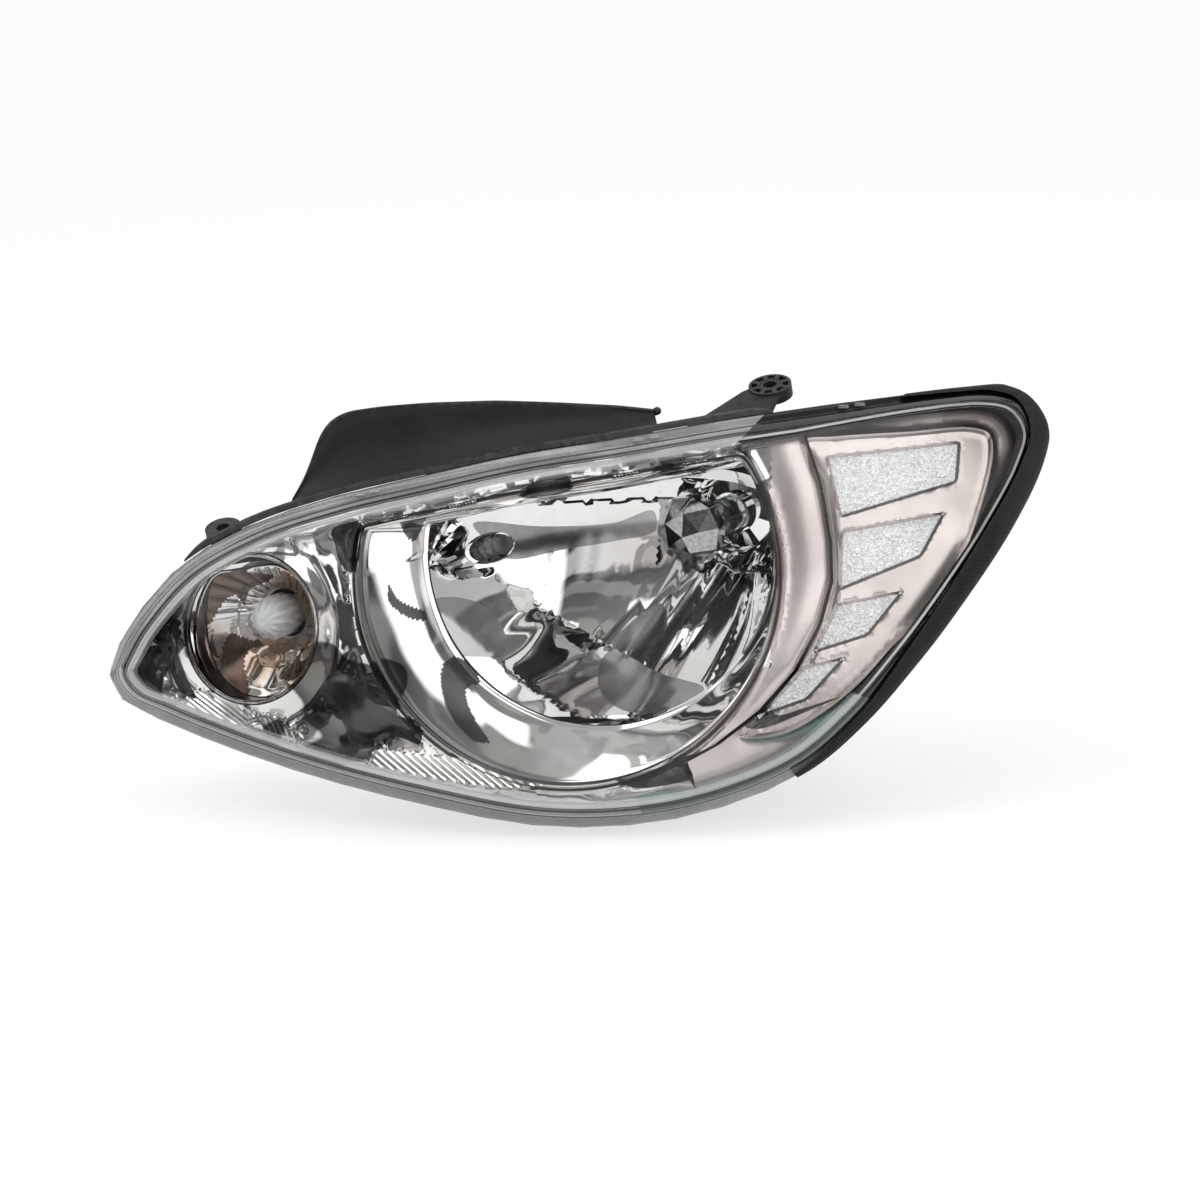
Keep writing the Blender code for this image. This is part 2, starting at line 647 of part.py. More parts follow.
def build_top_deflector():
    top = subdivide(PANEL_TOP) + [np.array(PANEL_TOP[-1], float)]
    rim_top = top_edge(4.4, above=30, inner_x=0, inner_above=10)
    rings = []
    for i, upper in enumerate(top):
        along = i / (len(top) - 1)
        across = PANEL_FOOT[0] + (PANEL_FOOT[1] - PANEL_FOOT[0]) * along
        lower = np.array([across, np.interp(across, *rim_top)])
        foot_depth = crown(*lower) + 24.0
        front, back = [], []
        for t in (0.0, 0.25, 0.6, 1.0):
            across, up = lower * (1 - t) + upper * t
            depth = foot_depth + 9.0 * math.sin(t * math.pi / 2) - 2.0 * t * t
            front.append((across, depth, up))
            back.append((across, depth + PANEL_THICKNESS, up))
        rings.append(np.array(front + back[::-1]))
    loft("top_deflector", rings, "black_plastic", face=True)


# ---------------------------------------------------------------- chrome bezel, outer garnish
BEZEL_OFFSET = -9.6
# Edge between the bezel and the outer garnish, top to bottom: (across, up).
GARNISH_EDGE = [(104, 108), (107, 86.4), (115.5, 60), (120.5, 31), (121, 12), (115, -9.6),
                (103, -32), (86, -51), (65, -67), (50, -75)]
# Closes that edge round the outer end, well outside the rim.
GARNISH_OUTSIDE = [(62, -110), (130, -140), (260, -60), (260, 130), (104, 140)]
GARNISH_GAP = (1.6, -0.8)       # (across, up) from the bezel's edge to the garnish's
# Four recessed windows of the garnish: (across, up), clockwise from top left, seen from the front.
WINDOWS = [
    [(119.0, 72.1), (186, 79.5), (184, 59), (126.0, 41.5)],
    [(126.4, 35.8), (178.5, 45.1), (166, 22.7), (125.0, 6.2)],
    [(124.5, 0.6), (158, 7), (139.5, -15.5), (112.0, -24.0)],
    [(108.5, -29.8), (129.6, -25), (109.8, -46.4), (84, -55.5)],
]


def sheet_rings(front, back, scales):
    """Front skin from the middle out, then back skin from the rim in."""
    return ([rim_ring(BEZEL_OFFSET, front, scale) for scale in scales]
            + [rim_ring(BEZEL_OFFSET, back, scale) for scale in scales[::-1]])


def clipped_ellipse(across, up, half_across, half_up, below_rim, count=40):
    """An ellipse of the face frame, cut off along the top by the rim moved in."""
    limit = top_edge(-below_rim, above=20, inner_x=-120, inner_above=-20)
    out = []
    for t in np.linspace(0, 2 * math.pi, count, endpoint=False):
        x, z = across + half_across * math.cos(t), up + half_up * math.sin(t)
        out.append((x, min(z, np.interp(x, *limit))))
    return np.array(out)


def widened(outline, by):
    centre = outline.mean(axis=0)
    outward = outline - centre
    return outline + outward / np.linalg.norm(outward, axis=1)[:, None] * by


def face_cutter(name, sections):
    """A cutter through (outline, depth) sections of the face frame."""
    rings = [face_ring(outline, depth) for outline, depth in sections]
    return loft(name, rings, face=True, cutter=True)


def garnish_prism(name, gap):
    """A flat-ended prism over the garnish's side of the edge, the edge moved by gap."""
    outline = [tuple(np.add(point, gap)) for point in GARNISH_EDGE] + GARNISH_OUTSIDE
    count = len(outline)
    verts = [(across, deep, up) for deep in (-60.0, 190.0) for across, up in outline]
    faces = [tuple(range(count)), tuple(range(2 * count - 1, count - 1, -1))]
    faces += [(i, (i + 1) % count, count + (i + 1) % count, count + i) for i in range(count)]
    return add(name, mesh_from(name, verts, faces, smooth=False), face=True, cutter=True)


def build_bezel():
    """Chrome sheet with a funnel round the main beam and a ring round the turn lamp."""
    main = clipped_ellipse(-6.0, 14.0, 101.0, 101.0, below_rim=21.0)
    funnel = clipped_ellipse(11.0, 26.0, 84.0, 84.0, below_rim=24.0)
    turn = clipped_ellipse(-159.0, -11.0, 31.0, 35.0, below_rim=15.0, count=28)
    bezel = loft("bezel", sheet_rings(12.0, 14.2, (0.5, 0.8, 1.0)), "chrome", face=True)
    join(bezel, face_cutter("funnel_outer", [
        (widened(main, 2.4), 10.0), (widened(main, 2.2), 14.5), (widened(funnel, 2.0), 34.0)]))
    join(bezel, face_cutter("turn_ring_outer", [
        (widened(turn, 2.2), 10.0), (widened(turn, 2.0), 16.5)]))
    cut(bezel, face_cutter("funnel_inner", [
        (widened(main, 1.0), -5.0), (main, 10.5), (main, 12.0), (funnel, 34.0),
        (widened(funnel, -1.5), 44.0)]))
    cut(bezel, face_cutter("turn_hole", [(turn, -5.0), (turn, 40.0)]))
    cut(bezel, garnish_prism("garnish_zone", (0, 0)))


def build_garnish():
    rings = sheet_rings(11.0, 17.0, (0.4, 0.7, 1.0))
    garnish = loft("outer_garnish", rings, "chrome", face=True)
    combine(garnish, garnish_prism("garnish_zone_in", GARNISH_GAP), "INTERSECT")
    for i, corners in enumerate(WINDOWS):
        outline = np.array(subdivide(corners + corners[:1]))
        cut(garnish, face_cutter(f"window_{i}", [(outline, -10.0), (outline, 14.6)]))


def build_bezel_screws():
    """Screws driven into the pads from behind."""
    for i, (across, up, pad) in enumerate(BEZEL_SCREWS):
        profile = [(0, pad + 2.8), (2.6, pad + 2.8), (3.7, pad + 2.0), (3.7, pad + 0.3),
                   (1.8, pad + 0.3), (1.8, pad - 13.0), (0, pad - 14.0)]
        lathe(f"bezel_screw_{i + 1}", profile, (across, 0, up), "steel", steps=12, face=True)


# ---------------------------------------------------------------- main reflector
REFLECTOR_EDGE = oval(x=-22.0, z=-14.5, half_x=85.0, half_z=61.0, power=2.8)
REFLECTOR_WALL = 2.4
MAIN_BOWL = dict(axis=np.array([BEAM_X, BEAM_Z]), apex=APEX_Y, focal=FOCAL,
                 hole=BULB_HOLE_RADIUS, rim_depth=46.0, fractions=(0.0, 0.25, 0.5, 0.75, 1.0))
BULB_SEAT_RADIUS = BULB_HOLE_RADIUS + 6.5

CLIP_X, CLIP_Y = BEAM_X - 27.0, SEAT_Y + 4.6    # hinge of the bulb's spring clip

SHIELD_LEG_WAY = (-0.5, -0.866)                 # (x, z) way the bulb shield's leg runs
SHIELD_FOOT_Y = APEX_Y - 29.5 ** 2 / (4 * FOCAL) - 0.8


def shield_point(radius, y):
    """A place on the line of the shield's leg, radius from the beam axis."""
    return (BEAM_X + SHIELD_LEG_WAY[0] * radius, y, BEAM_Z + SHIELD_LEG_WAY[1] * radius)


RIVET_AT = shield_point(30.6, 0)


def bowl_y(x, z):
    return APEX_Y - ((x - BEAM_X) ** 2 + (z - BEAM_Z) ** 2) / (4 * FOCAL)


EAR_Y = bowl_y(58.0, PIVOT_Z) - 2.5             # front of the ear that carries the aim leg
POSITION_SEAT = bowl_y(POSITION_X, POSITION_Z) + 19.0   # rear end of the position lamp's neck


def spokes(edge, axis):
    """Unit directions from the axis to the edge points, and their distances."""
    away = edge - axis
    reach = np.linalg.norm(away, axis=1)
    return away / reach[:, None], reach


def bowl_rings(edge, neck_y, axis, apex, focal, hole, rim_depth, fractions,
               grow=0.0, lip=0.0, forward=0.0):
    """Rings of a bowl from its neck to its rim: a paraboloid about axis up to the rim plane.

    grow moves the skin out by the wall; lip adds a turned-out rim, otherwise the last ring
    is carried forward.
    """
    outward, reach = spokes(edge, axis)
    # where the bowl would come through the rim plane it stops short of its edge
    for i, direction in enumerate(outward):
        def room(radius):
            x, z = axis + direction * radius
            return apex - radius ** 2 / (4 * focal) - 1.5 - y_on_face(x, z, rim_depth)
        low, high = hole + 4.0, reach[i]
        if room(high) < 0:
            for _ in range(18):
                middle = (low + high) / 2
                if room(middle) > 0:
                    low = middle
                else:
                    high = middle
            reach[i] = low

    def ring(radius, y):
        x, z = (axis + outward * np.reshape(radius, (-1, 1))).T
        return np.column_stack([x, np.broadcast_to(y, x.shape), z])

    neck = hole + grow
    rings = [ring(neck, neck_y)]
    for t in fractions:
        radius = neck + (reach + grow * 0.4 - neck) * t
        wall = grow * np.sqrt(1 + (radius / (2 * focal)) ** 2)
        rings.append(ring(radius, apex - radius ** 2 / (4 * focal) + wall))
    rim_y = [y_on_face(x, z, rim_depth) for x, z in axis + outward * reach[:, None]]
    last_y = np.minimum(rings[-1][:, 1] - 1.5, rim_y)
    rings.append(ring(reach + grow + 0.8, last_y))
    if lip:
        rings += [ring(reach + lip, last_y), ring(reach + lip, last_y - 2.0)]
    else:
        rings.append(ring(reach + grow + 0.8, last_y - forward))
    return rings


def build_main_reflector():
    seat_front = SEAT_Y - REFLECTOR_WALL
    axis = MAIN_BOWL["axis"]
    seat = axis + spokes(REFLECTOR_EDGE, axis)[0] * BULB_SEAT_RADIUS
    outer = [ring_at(seat, SEAT_Y), ring_at(seat, seat_front)]
    outer += bowl_rings(REFLECTOR_EDGE, seat_front, **MAIN_BOWL, grow=REFLECTOR_WALL, lip=6.0)
    inner = bowl_rings(REFLECTOR_EDGE, SEAT_Y + 6, **MAIN_BOWL, forward=26.0)
    reflector = loft("main_reflector", outer, "chrome", origin=(PIVOT_X, BALL_Y, PIVOT_Z))

    def leg(name, x, z, start, end, start_radius, end_radius):
        profile = cone(start_radius, end_radius, start, end)
        join(reflector, turned_cutter(name, profile, (x, 0, z), 16))

    leg("pivot_leg", PIVOT_X, PIVOT_Z, bowl_y(PIVOT_X, PIVOT_Z) - 8, LEG_END, 8.5, 7.0)
    leg("level_leg", PIVOT_X, LEVEL_Z, bowl_y(PIVOT_X, LEVEL_Z) - 6, LEG_END, 8.5, 7.0)
    leg("aim_leg", AIM_X, PIVOT_Z, EAR_Y, LEG_END, 7.6, 7.0)
    join(reflector, box_cutter("aim_ear", (40.0, EAR_Y, PIVOT_Z - 11),
                               (AIM_X + 1.0, EAR_Y + 4.0, PIVOT_Z + 6), bevel=0.6))
    leg("position_neck", POSITION_X, POSITION_Z, bowl_y(POSITION_X, POSITION_Z) - 8,
        POSITION_SEAT, 9.0, 9.0)

    cut(reflector, loft("main_bowl_hollow", inner, cutter=True), "MANIFOLD")
    # the pivot's peg swivels a little in its pocket, the other two are a snug fit
    for name, x, z, radius in (("pivot_pocket", PIVOT_X, PIVOT_Z, 3.7),
                               ("level_pocket", PIVOT_X, LEVEL_Z, 3.2),
                               ("aim_pocket", AIM_X, PIVOT_Z, 3.2)):
        bore(reflector, name, radius, LEG_END - 7, LEG_END + 3, (x, 0, z), 14, "MANIFOLD")
    bore(reflector, "position_bore", 6.6, POSITION_SEAT - 45, POSITION_SEAT + 4,
         (POSITION_X, 0, POSITION_Z), 20, "MANIFOLD")

    # lug that carries the bulb clip's ends
    join(reflector, box_cutter("clip_lug", (CLIP_X - 4.5, SEAT_Y - 2.3, BEAM_Z - 4.6),
                               (CLIP_X + 3.4, CLIP_Y + 2.6, BEAM_Z + 4.6), bevel=0.6))
    bore(reflector, "clip_bore", 1.15, -8, 8, (CLIP_X, CLIP_Y, BEAM_Z), 12, rot=ALONG_Z)
    bore(reflector, "rivet_hole", 1.9, SHIELD_FOOT_Y - 12, SHIELD_FOOT_Y + 16, RIVET_AT, 12)


# ---------------------------------------------------------------- ball joints and adjusters
WHEEL_BORE = 3.4
# (share of the pitch, how far below the tip) round one tooth
TOOTH = ((0.0, 1.4), (0.3, 1.4), (0.42, 0.0), (0.88, 0.0))


def ball_cup(name, x, z):
    """A snap-in cup: peg into the reflector's leg, hollow round the ball, open to the rear."""
    hollow = BALL_RADIUS + 0.45
    floor = LEG_END + 0.3 - BALL_Y
    mouth_y = 2.6
    mouth = math.sqrt(hollow ** 2 - mouth_y ** 2)
    profile = [(0.0, floor - 6.0), (2.9, floor - 6.0), (2.9, floor), (7.2, floor), (7.2, 3.0),
               (6.6, 3.6), (mouth, 3.6), (mouth, mouth_y)]
    for t in np.linspace(math.asin(mouth_y / hollow), -math.pi / 2, 7)[1:]:
        profile.append((max(hollow * math.cos(t), 0.0), hollow * math.sin(t)))
    lathe(name, profile, (x, BALL_Y, z), "nylon", steps=18)


def ball_stud(name, x, z, end_y, shank, finish):
    """A ball on a shank that runs back along Y, its origin at the ball."""
    profile = [(0.0, -BALL_RADIUS)]
    for t in np.linspace(-math.pi / 2, math.pi / 2, 9)[1:-1]:
        along, radius = BALL_RADIUS * math.sin(t), BALL_RADIUS * math.cos(t)
        if along > 0 and radius < shank:
            break
        profile.append((radius, along))
    profile += [(shank, math.sqrt(BALL_RADIUS ** 2 - shank ** 2)),
                (shank, end_y - BALL_Y), (0.0, end_y - BALL_Y)]
    lathe(name, profile, (x, BALL_Y, z), finish, steps=18)


def toothed_wheel(name, at, outer, thickness, teeth):
    """A flat toothed wheel across Y, with a round bore, as a filled outline."""
    curve = bpy.data.curves.new(name, "CURVE")
    curve.dimensions = "2D"
    curve.fill_mode = "BOTH"
    curve.extrude = thickness / 2 * MM
    rim = [(2 * math.pi * (i + share) / teeth, outer - below)
           for i in range(teeth) for share, below in TOOTH]
    hole = [(t, WHEEL_BORE) for t in np.linspace(0, 2 * math.pi, 16, endpoint=False)]
    for outline in (rim, hole):
        spline = curve.splines.new("POLY")
        spline.points.add(len(outline) - 1)
        for knot, (t, radius) in zip(spline.points, outline):
            knot.co = (radius * math.cos(t) * MM, radius * math.sin(t) * MM, 0, 1)
        spline.use_cyclic_u = True
    add(name, curve, "nylon", at, rot=ALONG_Y)


def build_ball_joints():
    ball_cup("pivot_socket", PIVOT_X, PIVOT_Z)
    ball_cup("aim_socket", AIM_X, PIVOT_Z)
    ball_cup("level_socket", PIVOT_X, LEVEL_Z)
    ball_stud("pivot_stud", PIVOT_X, PIVOT_Z, BACK_Y + 8.0, 2.9, "steel")
    ball_stud("aim_stud", AIM_X, PIVOT_Z, BACK_Y + 22.0, 3.0, "nylon")
    ball_stud("level_shaft", PIVOT_X, LEVEL_Z, BACK_Y + 20.0, 3.0, "nylon")
    toothed_wheel("aim_wheel", (AIM_X, BACK_Y + 12.5, PIVOT_Z), 8.0, 6.0, 12)


def build_level_motor():
    """Levelling motor behind the lower ball, with its plug shroud, seal and wheel."""
    front, rear = BACK_Y + 0.4, BACK_Y + 34.0
    well = rear - 6.0
    at = (PIVOT_X, 0, LEVEL_Z)
    motor = box("level_motor", (PIVOT_X - 24, front, LEVEL_Z - 17),
                (PIVOT_X + 20, rear, LEVEL_Z + 20), "grey_plastic", bevel=2.0)
    join(motor, turned_cutter("motor_neck", tube(0, 7.6, BACK_Y - 5, front + 4), at, 20))
    join(motor, box_cutter("motor_plug_shroud", (PIVOT_X - 10, BACK_Y + 8, LEVEL_Z + 19),
                           (PIVOT_X + 12, BACK_Y + 28, LEVEL_Z + 30), bevel=0.5))
    cut(motor, box_cutter("motor_plug_hole", (PIVOT_X - 8.4, BACK_Y + 9.6, LEVEL_Z + 21),
                          (PIVOT_X + 10.4, BACK_Y + 26.4, LEVEL_Z + 36)))
    bore(motor, "motor_bore", 3.5, BACK_Y - 10, BACK_Y + 26, at, 16)
    bore(motor, "motor_wheel_well", 10.0, well, rear + 6, at, 20)
    lathe("motor_seal", tube(7.9, 9.9, BACK_Y - 4.9, BACK_Y - 2.8), at, "rubber", steps=20)
    toothed_wheel("level_wheel", (PIVOT_X, well + 4.0, LEVEL_Z), 9.0, 7.0, 14)


# ---------------------------------------------------------------- main bulb
BEAM = (BEAM_X, 0, BEAM_Z)
FLANGE_Y = SEAT_Y + 0.3         # front of the bulb's flange, just behind the seat
# (x, z, whether it lies level) of the three terminals, from the beam axis
TERMINALS = [(0, 8.0, True), (-8.0, -3, False), (8.0, -3, False)]


def terminal_boxes(half_width, half_thickness, start, end):
    out = []
    for x, z, level in TERMINALS:
        half = (half_width, half_thickness) if level else (half_thickness, half_width)
        out.append(around(BEAM_X + x, BEAM_Z + z, *half, start, end))
    return out


def filament(name, x, z, start, end):
    """A four-turn coil along Y, both tails running back into the base."""
    coil, turns, tail_y = 1.2, 4, SEAT_Y - 6.6
    points = [(x, tail_y, z - coil - 0.9), (x, start - 0.5, z - coil - 0.9)]
    for k in range(turns * 8 + 1):
        t = 2 * math.pi * k / 8
        y = start + (end - start) * k / (turns * 8)
        points.append((x + coil * math.sin(t), y, z - coil * math.cos(t)))
    points += [(x + 1.0, end + 0.7, z - coil), (x + 1.0, tail_y, z - coil)]
    wire(name, points, 0.3, "tungsten", origin=(BEAM_X, SEAT_Y, BEAM_Z))


def build_main_bulb():
    lathe("main_bulb_base", [
        (8.95, SEAT_Y - 13), (10.4, SEAT_Y - 13), (10.4, SEAT_Y - 5.5), (18.6, SEAT_Y - 4.5),
        (18.6, FLANGE_Y), (21.5, FLANGE_Y), (21.5, FLANGE_Y + 1.5), (16.5, FLANGE_Y + 1.5),
        (16.5, FLANGE_Y + 11.0), (0.0, FLANGE_Y + 11.0), (0.0, SEAT_Y - 6), (8.95, SEAT_Y - 6),
    ], BEAM, "steel", steps=28)
    radius, nose_length = 8.6, 8.0
    inside = radius - GLASS_WALL
    nose_start, root_y = 90.0 + nose_length, SEAT_Y - 6.4
    profile = [(radius, root_y)] + nose(radius, nose_start, nose_length)
    profile += nose(inside, nose_start, nose_length - GLASS_WALL)[::-1] + [(inside, root_y)]
    lathe("main_bulb_glass", profile, BEAM, "glass", steps=20)
    filament("high_beam_filament", BEAM_X, BEAM_Z, SEAT_Y - 31, SEAT_Y - 26)
    filament("low_beam_filament", BEAM_X + 3.6, BEAM_Z + 1.0, SEAT_Y - 42, SEAT_Y - 36.5)
    box("low_beam_cup", (BEAM_X - 0.9, SEAT_Y - 44, BEAM_Z - 5.2),
        (BEAM_X + 4.9, SEAT_Y - 34, BEAM_Z - 4.2), "steel", bevel=0.4)
    blades = terminal_boxes(4.0, 0.4, FLANGE_Y + 11.3, FLANGE_Y + 24.0)
    for i, corners in enumerate(blades):
        box(f"bulb_terminal_{i + 1}", *corners, "brass")


def build_bulb_plug():
    corners = around(BEAM_X, BEAM_Z, 13, 13, FLANGE_Y + 12.2, FLANGE_Y + 33.0)
    plug = box("bulb_plug", *corners, "black_plastic", bevel=1.6)
    slots = terminal_boxes(4.5, 0.9, FLANGE_Y + 5, FLANGE_Y + 25.5)
    for i, corners in enumerate(slots):
        cut(plug, box_cutter(f"plug_slot_{i}", *corners))

    # three leads from the plug's inner side, running down inside the housing
    lead_y = FLANGE_Y + 24.6
    for i, rise in enumerate((-6.0, 0.0, 6.0)):
        z, down_x = BEAM_Z + rise * 0.9, BEAM_X - 30 - i * 2.9
        path = bent([(BEAM_X - 13.4, lead_y, z), (BEAM_X - 19, lead_y, z),
                     (down_x, 160, BEAM_Z - 17), (down_x, 157, -44.0)], 9)
        wire(f"bulb_lead_{i + 1}", path, 1.2, "wire_black")


def build_bulb_clip():
    """Spring wire over the bulb's flange: hinge ends in the lug, two legs and a thumb loop."""
    # (x, y, z) of the upper half, from the hinge to the loop; the lower half mirrors it
    half = [(CLIP_X, CLIP_Y, 2.5), (CLIP_X, CLIP_Y, 18.2), (BEAM_X + 21, CLIP_Y - 1.0, 18.2),
            (BEAM_X + 26.5, CLIP_Y - 0.6, 9), (BEAM_X + 29.5, CLIP_Y + 2.4, 4)]
    path = [(x, y, BEAM_Z + rise) for x, y, rise in half]
    path += [(x, y, BEAM_Z - rise) for x, y, rise in half[::-1]]
    wire("bulb_clip", bent(path, 3.0, 3), 0.8, "steel", (CLIP_X, CLIP_Y, BEAM_Z), sides=1)


# ---------------------------------------------------------------- bulb shield
def strap_rings(path, across, width, thickness):
    """Rectangular sections of a flat strap along the path."""
    path = [np.array(point, float) for point in path]
    across = np.array(across, float) / np.linalg.norm(across)
    side = across * width / 2
    rings = []
    for i, point in enumerate(path):
        tangent = path[min(i + 1, len(path) - 1)] - path[max(i - 1, 0)]
        normal = np.cross(tangent / np.linalg.norm(tangent), across)
        rise = normal / np.linalg.norm(normal) * thickness / 2
        rings.append(np.array([point + side + rise, point + side - rise,
                               point - side - rise, point - side + rise]))
    return rings


def build_bulb_shield():
    """Faceted cap in front of the bulb, on a strap riveted to the reflector."""
    tip, foot = 80.0, SHIELD_FOOT_Y
    shield = bake(lathe("bulb_shield", [
        (0, tip), (7.5, tip + 2.0), (14.0, tip + 6.5), (17.4, tip + 11.5), (17.4, tip + 17.5),
        (16.0, tip + 17.5), (16.0, tip + 12.0), (13.0, tip + 8.0), (6.9, tip + 3.8),
        (0, tip + 2.0),
    ], BEAM, "chrome", steps=10, flat=True))
    # (distance from the beam axis, y)
    path = [(16.7, tip + 15.0), (17.2, tip + 22), (20.0, foot - 14), (25.2, foot - 3.8),
            (26.6, foot - 1.6), (33.0, foot - 3.4)]
    strap = strap_rings([shield_point(*place) for place in path],
                        (SHIELD_LEG_WAY[1], 0, -SHIELD_LEG_WAY[0]), 8.0, 1.2)
    join(shield, loft("shield_leg", strap, cutter=True))
    bore(shield, "shield_hole", 1.9, foot - 12, foot + 2, RIVET_AT, 12)
    lathe("shield_rivet", [
        (0, foot - 6.6), (3.2, foot - 6.0), (3.4, foot - 5.2), (1.6, foot - 5.2),
        (1.6, foot + 3.0), (0, foot + 3.0),
    ], RIVET_AT, "steel", steps=12)


# ---------------------------------------------------------------- position lamp
def build_position_lamp():
    """Small socket and bulb in the neck on the main reflector."""
    at, seat = (POSITION_X, 0, POSITION_Z), POSITION_SEAT
    lathe("position_socket", [
        (2.6, seat - 9), (6.0, seat - 9), (6.0, seat + 0.3), (9.0, seat + 0.3),
        (9.0, seat + 3.2), (6.6, seat + 3.2), (6.6, seat + 12.0), (0, seat + 12.0),
        (0, seat - 2.0), (2.6, seat - 2.0),
    ], at, "grey_plastic", steps=18)
    lathe("position_bulb", [
        (0, seat - 2.4), (2.3, seat - 2.4), (2.3, seat - 9.5), (4.6, seat - 12.0),
        (4.9, seat - 22.0), (3.6, seat - 26.2), (0, seat - 28.0),
    ], at, "glass", steps=14)


# ---------------------------------------------------------------- turn lamp
TURN = (TURN_X, 0, TURN_Z)
TURN_BOWL = dict(axis=np.array([TURN_X, TURN_Z]), apex=TURN_APEX, focal=TURN_FOCAL,
                 hole=12.0, rim_depth=21.4, fractions=(0.0, 0.35, 0.7, 1.0))
TURN_BASE_Y = TURN_APEX + 6.5   # where the bulb's glass ends in its base


def build_turn_reflector():
    edge = oval(-154.5, -18.5, 31.5, 37.0, 2.05, count=30)
    # the bowl stops under the tray's upper wall
    edge[:, 1] = np.minimum(edge[:, 1], 9.0 + (edge[:, 0] + 153.0) * 0.20)
    outer = bowl_rings(edge, TURN_APEX + 6.0, **TURN_BOWL, grow=1.8, lip=3.0)
    inner = bowl_rings(edge, TURN_APEX + 12.0, **TURN_BOWL, forward=14.0)
    reflector = loft("turn_reflector", outer, "chrome")
    cut(reflector, loft("turn_bowl_hollow", inner, cutter=True))


def build_turn_bulb():
    base = TURN_BASE_Y
    lathe("turn_bulb_base", [
        (0, base + 15.0), (7.4, base + 15.0), (7.4, base - 2.0), (6.8, base - 2.0),
        (6.8, base + 0.5), (0, base + 0.5),
    ], TURN, "brass", steps=18)
    neck, radius = 6.4, 10.4
    inside, neck_inside = radius - GLASS_WALL, neck - GLASS_WALL
    nose_start = TURN_APEX - 27.0 + radius
    profile = [(neck, base), (neck, base - 3.0), (radius, base - 10.0)]
    profile += nose(radius, nose_start, radius) + nose(inside, nose_start, inside)[::-1]
    profile += [(inside, base - 10.4), (neck_inside, base - 3.4), (neck_inside, base)]
    lathe("turn_bulb_glass", profile, TURN, "glass", steps=18)
    path = [(TURN_X + x, base + y, TURN_Z + z) for x, y, z in (
        (-2.6, -0.4, 0), (-2.6, -20, 0), (0, -21.5, 1.2), (2.6, -20, 0), (2.6, -0.4, 0))]
    wire("turn_filament", bent(path, 1.5, 3), 0.35, "tungsten", (TURN_X, base, TURN_Z))


def build_turn_socket():
    """Socket in the turn lamp's collar, its origin at the collar's rear end."""
    start, length = TURN_END, 18.0
    end = start + length
    socket = lathe("turn_socket", [
        (7.9, -15), (13.8, -15), (13.8, 0.4), (19.5, 0.4), (19.5, 3.6), (12.5, 3.6),
        (12.5, length), (0, length), (0, 4.5), (7.9, 4.5),
    ], (TURN_X, start, TURN_Z), "black_plastic", steps=24)
    grip = around(TURN_X, TURN_Z, 2.2, 17.5, start + 3.0, end - 1)
    join(socket, box_cutter("socket_grip", *grip, bevel=0.5))
    mouth = around(TURN_X, TURN_Z, 6, 4, start + 9.0, end + 6)
    cut(socket, box_cutter("socket_plug_hole", *mouth))
    seal = tube(14.1, 14.75, start - 5.0, start - 2.4)
    lathe("turn_socket_seal", seal, TURN, "rubber", steps=24)


# ---------------------------------------------------------------- access cap
def build_access_cap():
    """Cap over the access collar, its origin at the collar's rear end, and its seal."""
    end = 212.0
    profile = [
        (0, end), (28.0, end), (32.5, end - 2.5), (39.4, 186.0), (39.4, BACK_Y + 2.0),
        (36.8, BACK_Y + 2.0), (36.8, 185.0), (30.6, end - 4.5), (27.0, end - 2.5), (0, end - 2.5),
    ]
    cap = lathe("access_cap", [(radius, y - COLLAR_END) for radius, y in profile],
                (BEAM_X, COLLAR_END, BEAM_Z), "black_plastic", steps=32)
    grip = around(BEAM_X, BEAM_Z, 2.6, 26.0, end - 3.5, end + 8.0)
    join(cap, box_cutter("cap_grip", *grip, bevel=1.2))
    seal = tube(ACCESS_RADIUS + 0.3, ACCESS_RADIUS + 2.8, COLLAR_END + 0.3, COLLAR_END + 2.4)
    lathe("access_cap_seal", seal, BEAM, "rubber", steps=32)


# ---------------------------------------------------------------- bulkhead connector, vents
def build_connector():
    def section(half_x, half_z, start, end, x=CONNECTOR_X):
        """Box corners round the connector, start and end measured from the back wall."""
        return around(x, CONNECTOR_Z, half_x, half_z, BACK_Y + start, BACK_Y + end)

    body = box("harness_connector", *section(12.4, 6.4, -6, 18), "black_plastic", bevel=0.8)
    join(body, box_cutter("connector_flange", *section(16, 10, 0.3, 2.6), bevel=0.5))
    cut(body, box_cutter("connector_mouth", *section(10.6, 4.6, 5, 26)))
    for i, offset in enumerate((-7.5, -2.5, 2.5, 7.5)):
        x = CONNECTOR_X + offset
        cut(body, box_cutter(f"pin_hole_{i}", *section(0.9, 0.9, -12, 12, x)))
        box(f"connector_pin_{i + 1}", *section(0.55, 0.55, -9, 14, x), "brass")


def build_vents():
    """Rubber elbows that come out of the back wall and turn down."""
    for i, (x, z) in enumerate(VENTS):
        path = bent([(x, BACK_Y - 4, z), (x, BACK_Y + 10, z), (x, BACK_Y + 10, z - 15)], 7, 5)
        wire(f"vent_elbow_{i + 1}", path, 3.0, "rubber", sides=1)


build_lens()
build_housing()
build_sealant()
build_edge_gasket()
build_top_deflector()
build_bezel()
build_garnish()
build_main_reflector()
build_ball_joints()
build_level_motor()
build_main_bulb()
build_bulb_plug()
build_bulb_clip()
build_bulb_shield()
build_position_lamp()
build_turn_reflector()
build_turn_bulb()
build_turn_socket()
build_access_cap()
build_connector()
build_vents()
build_bezel_screws()
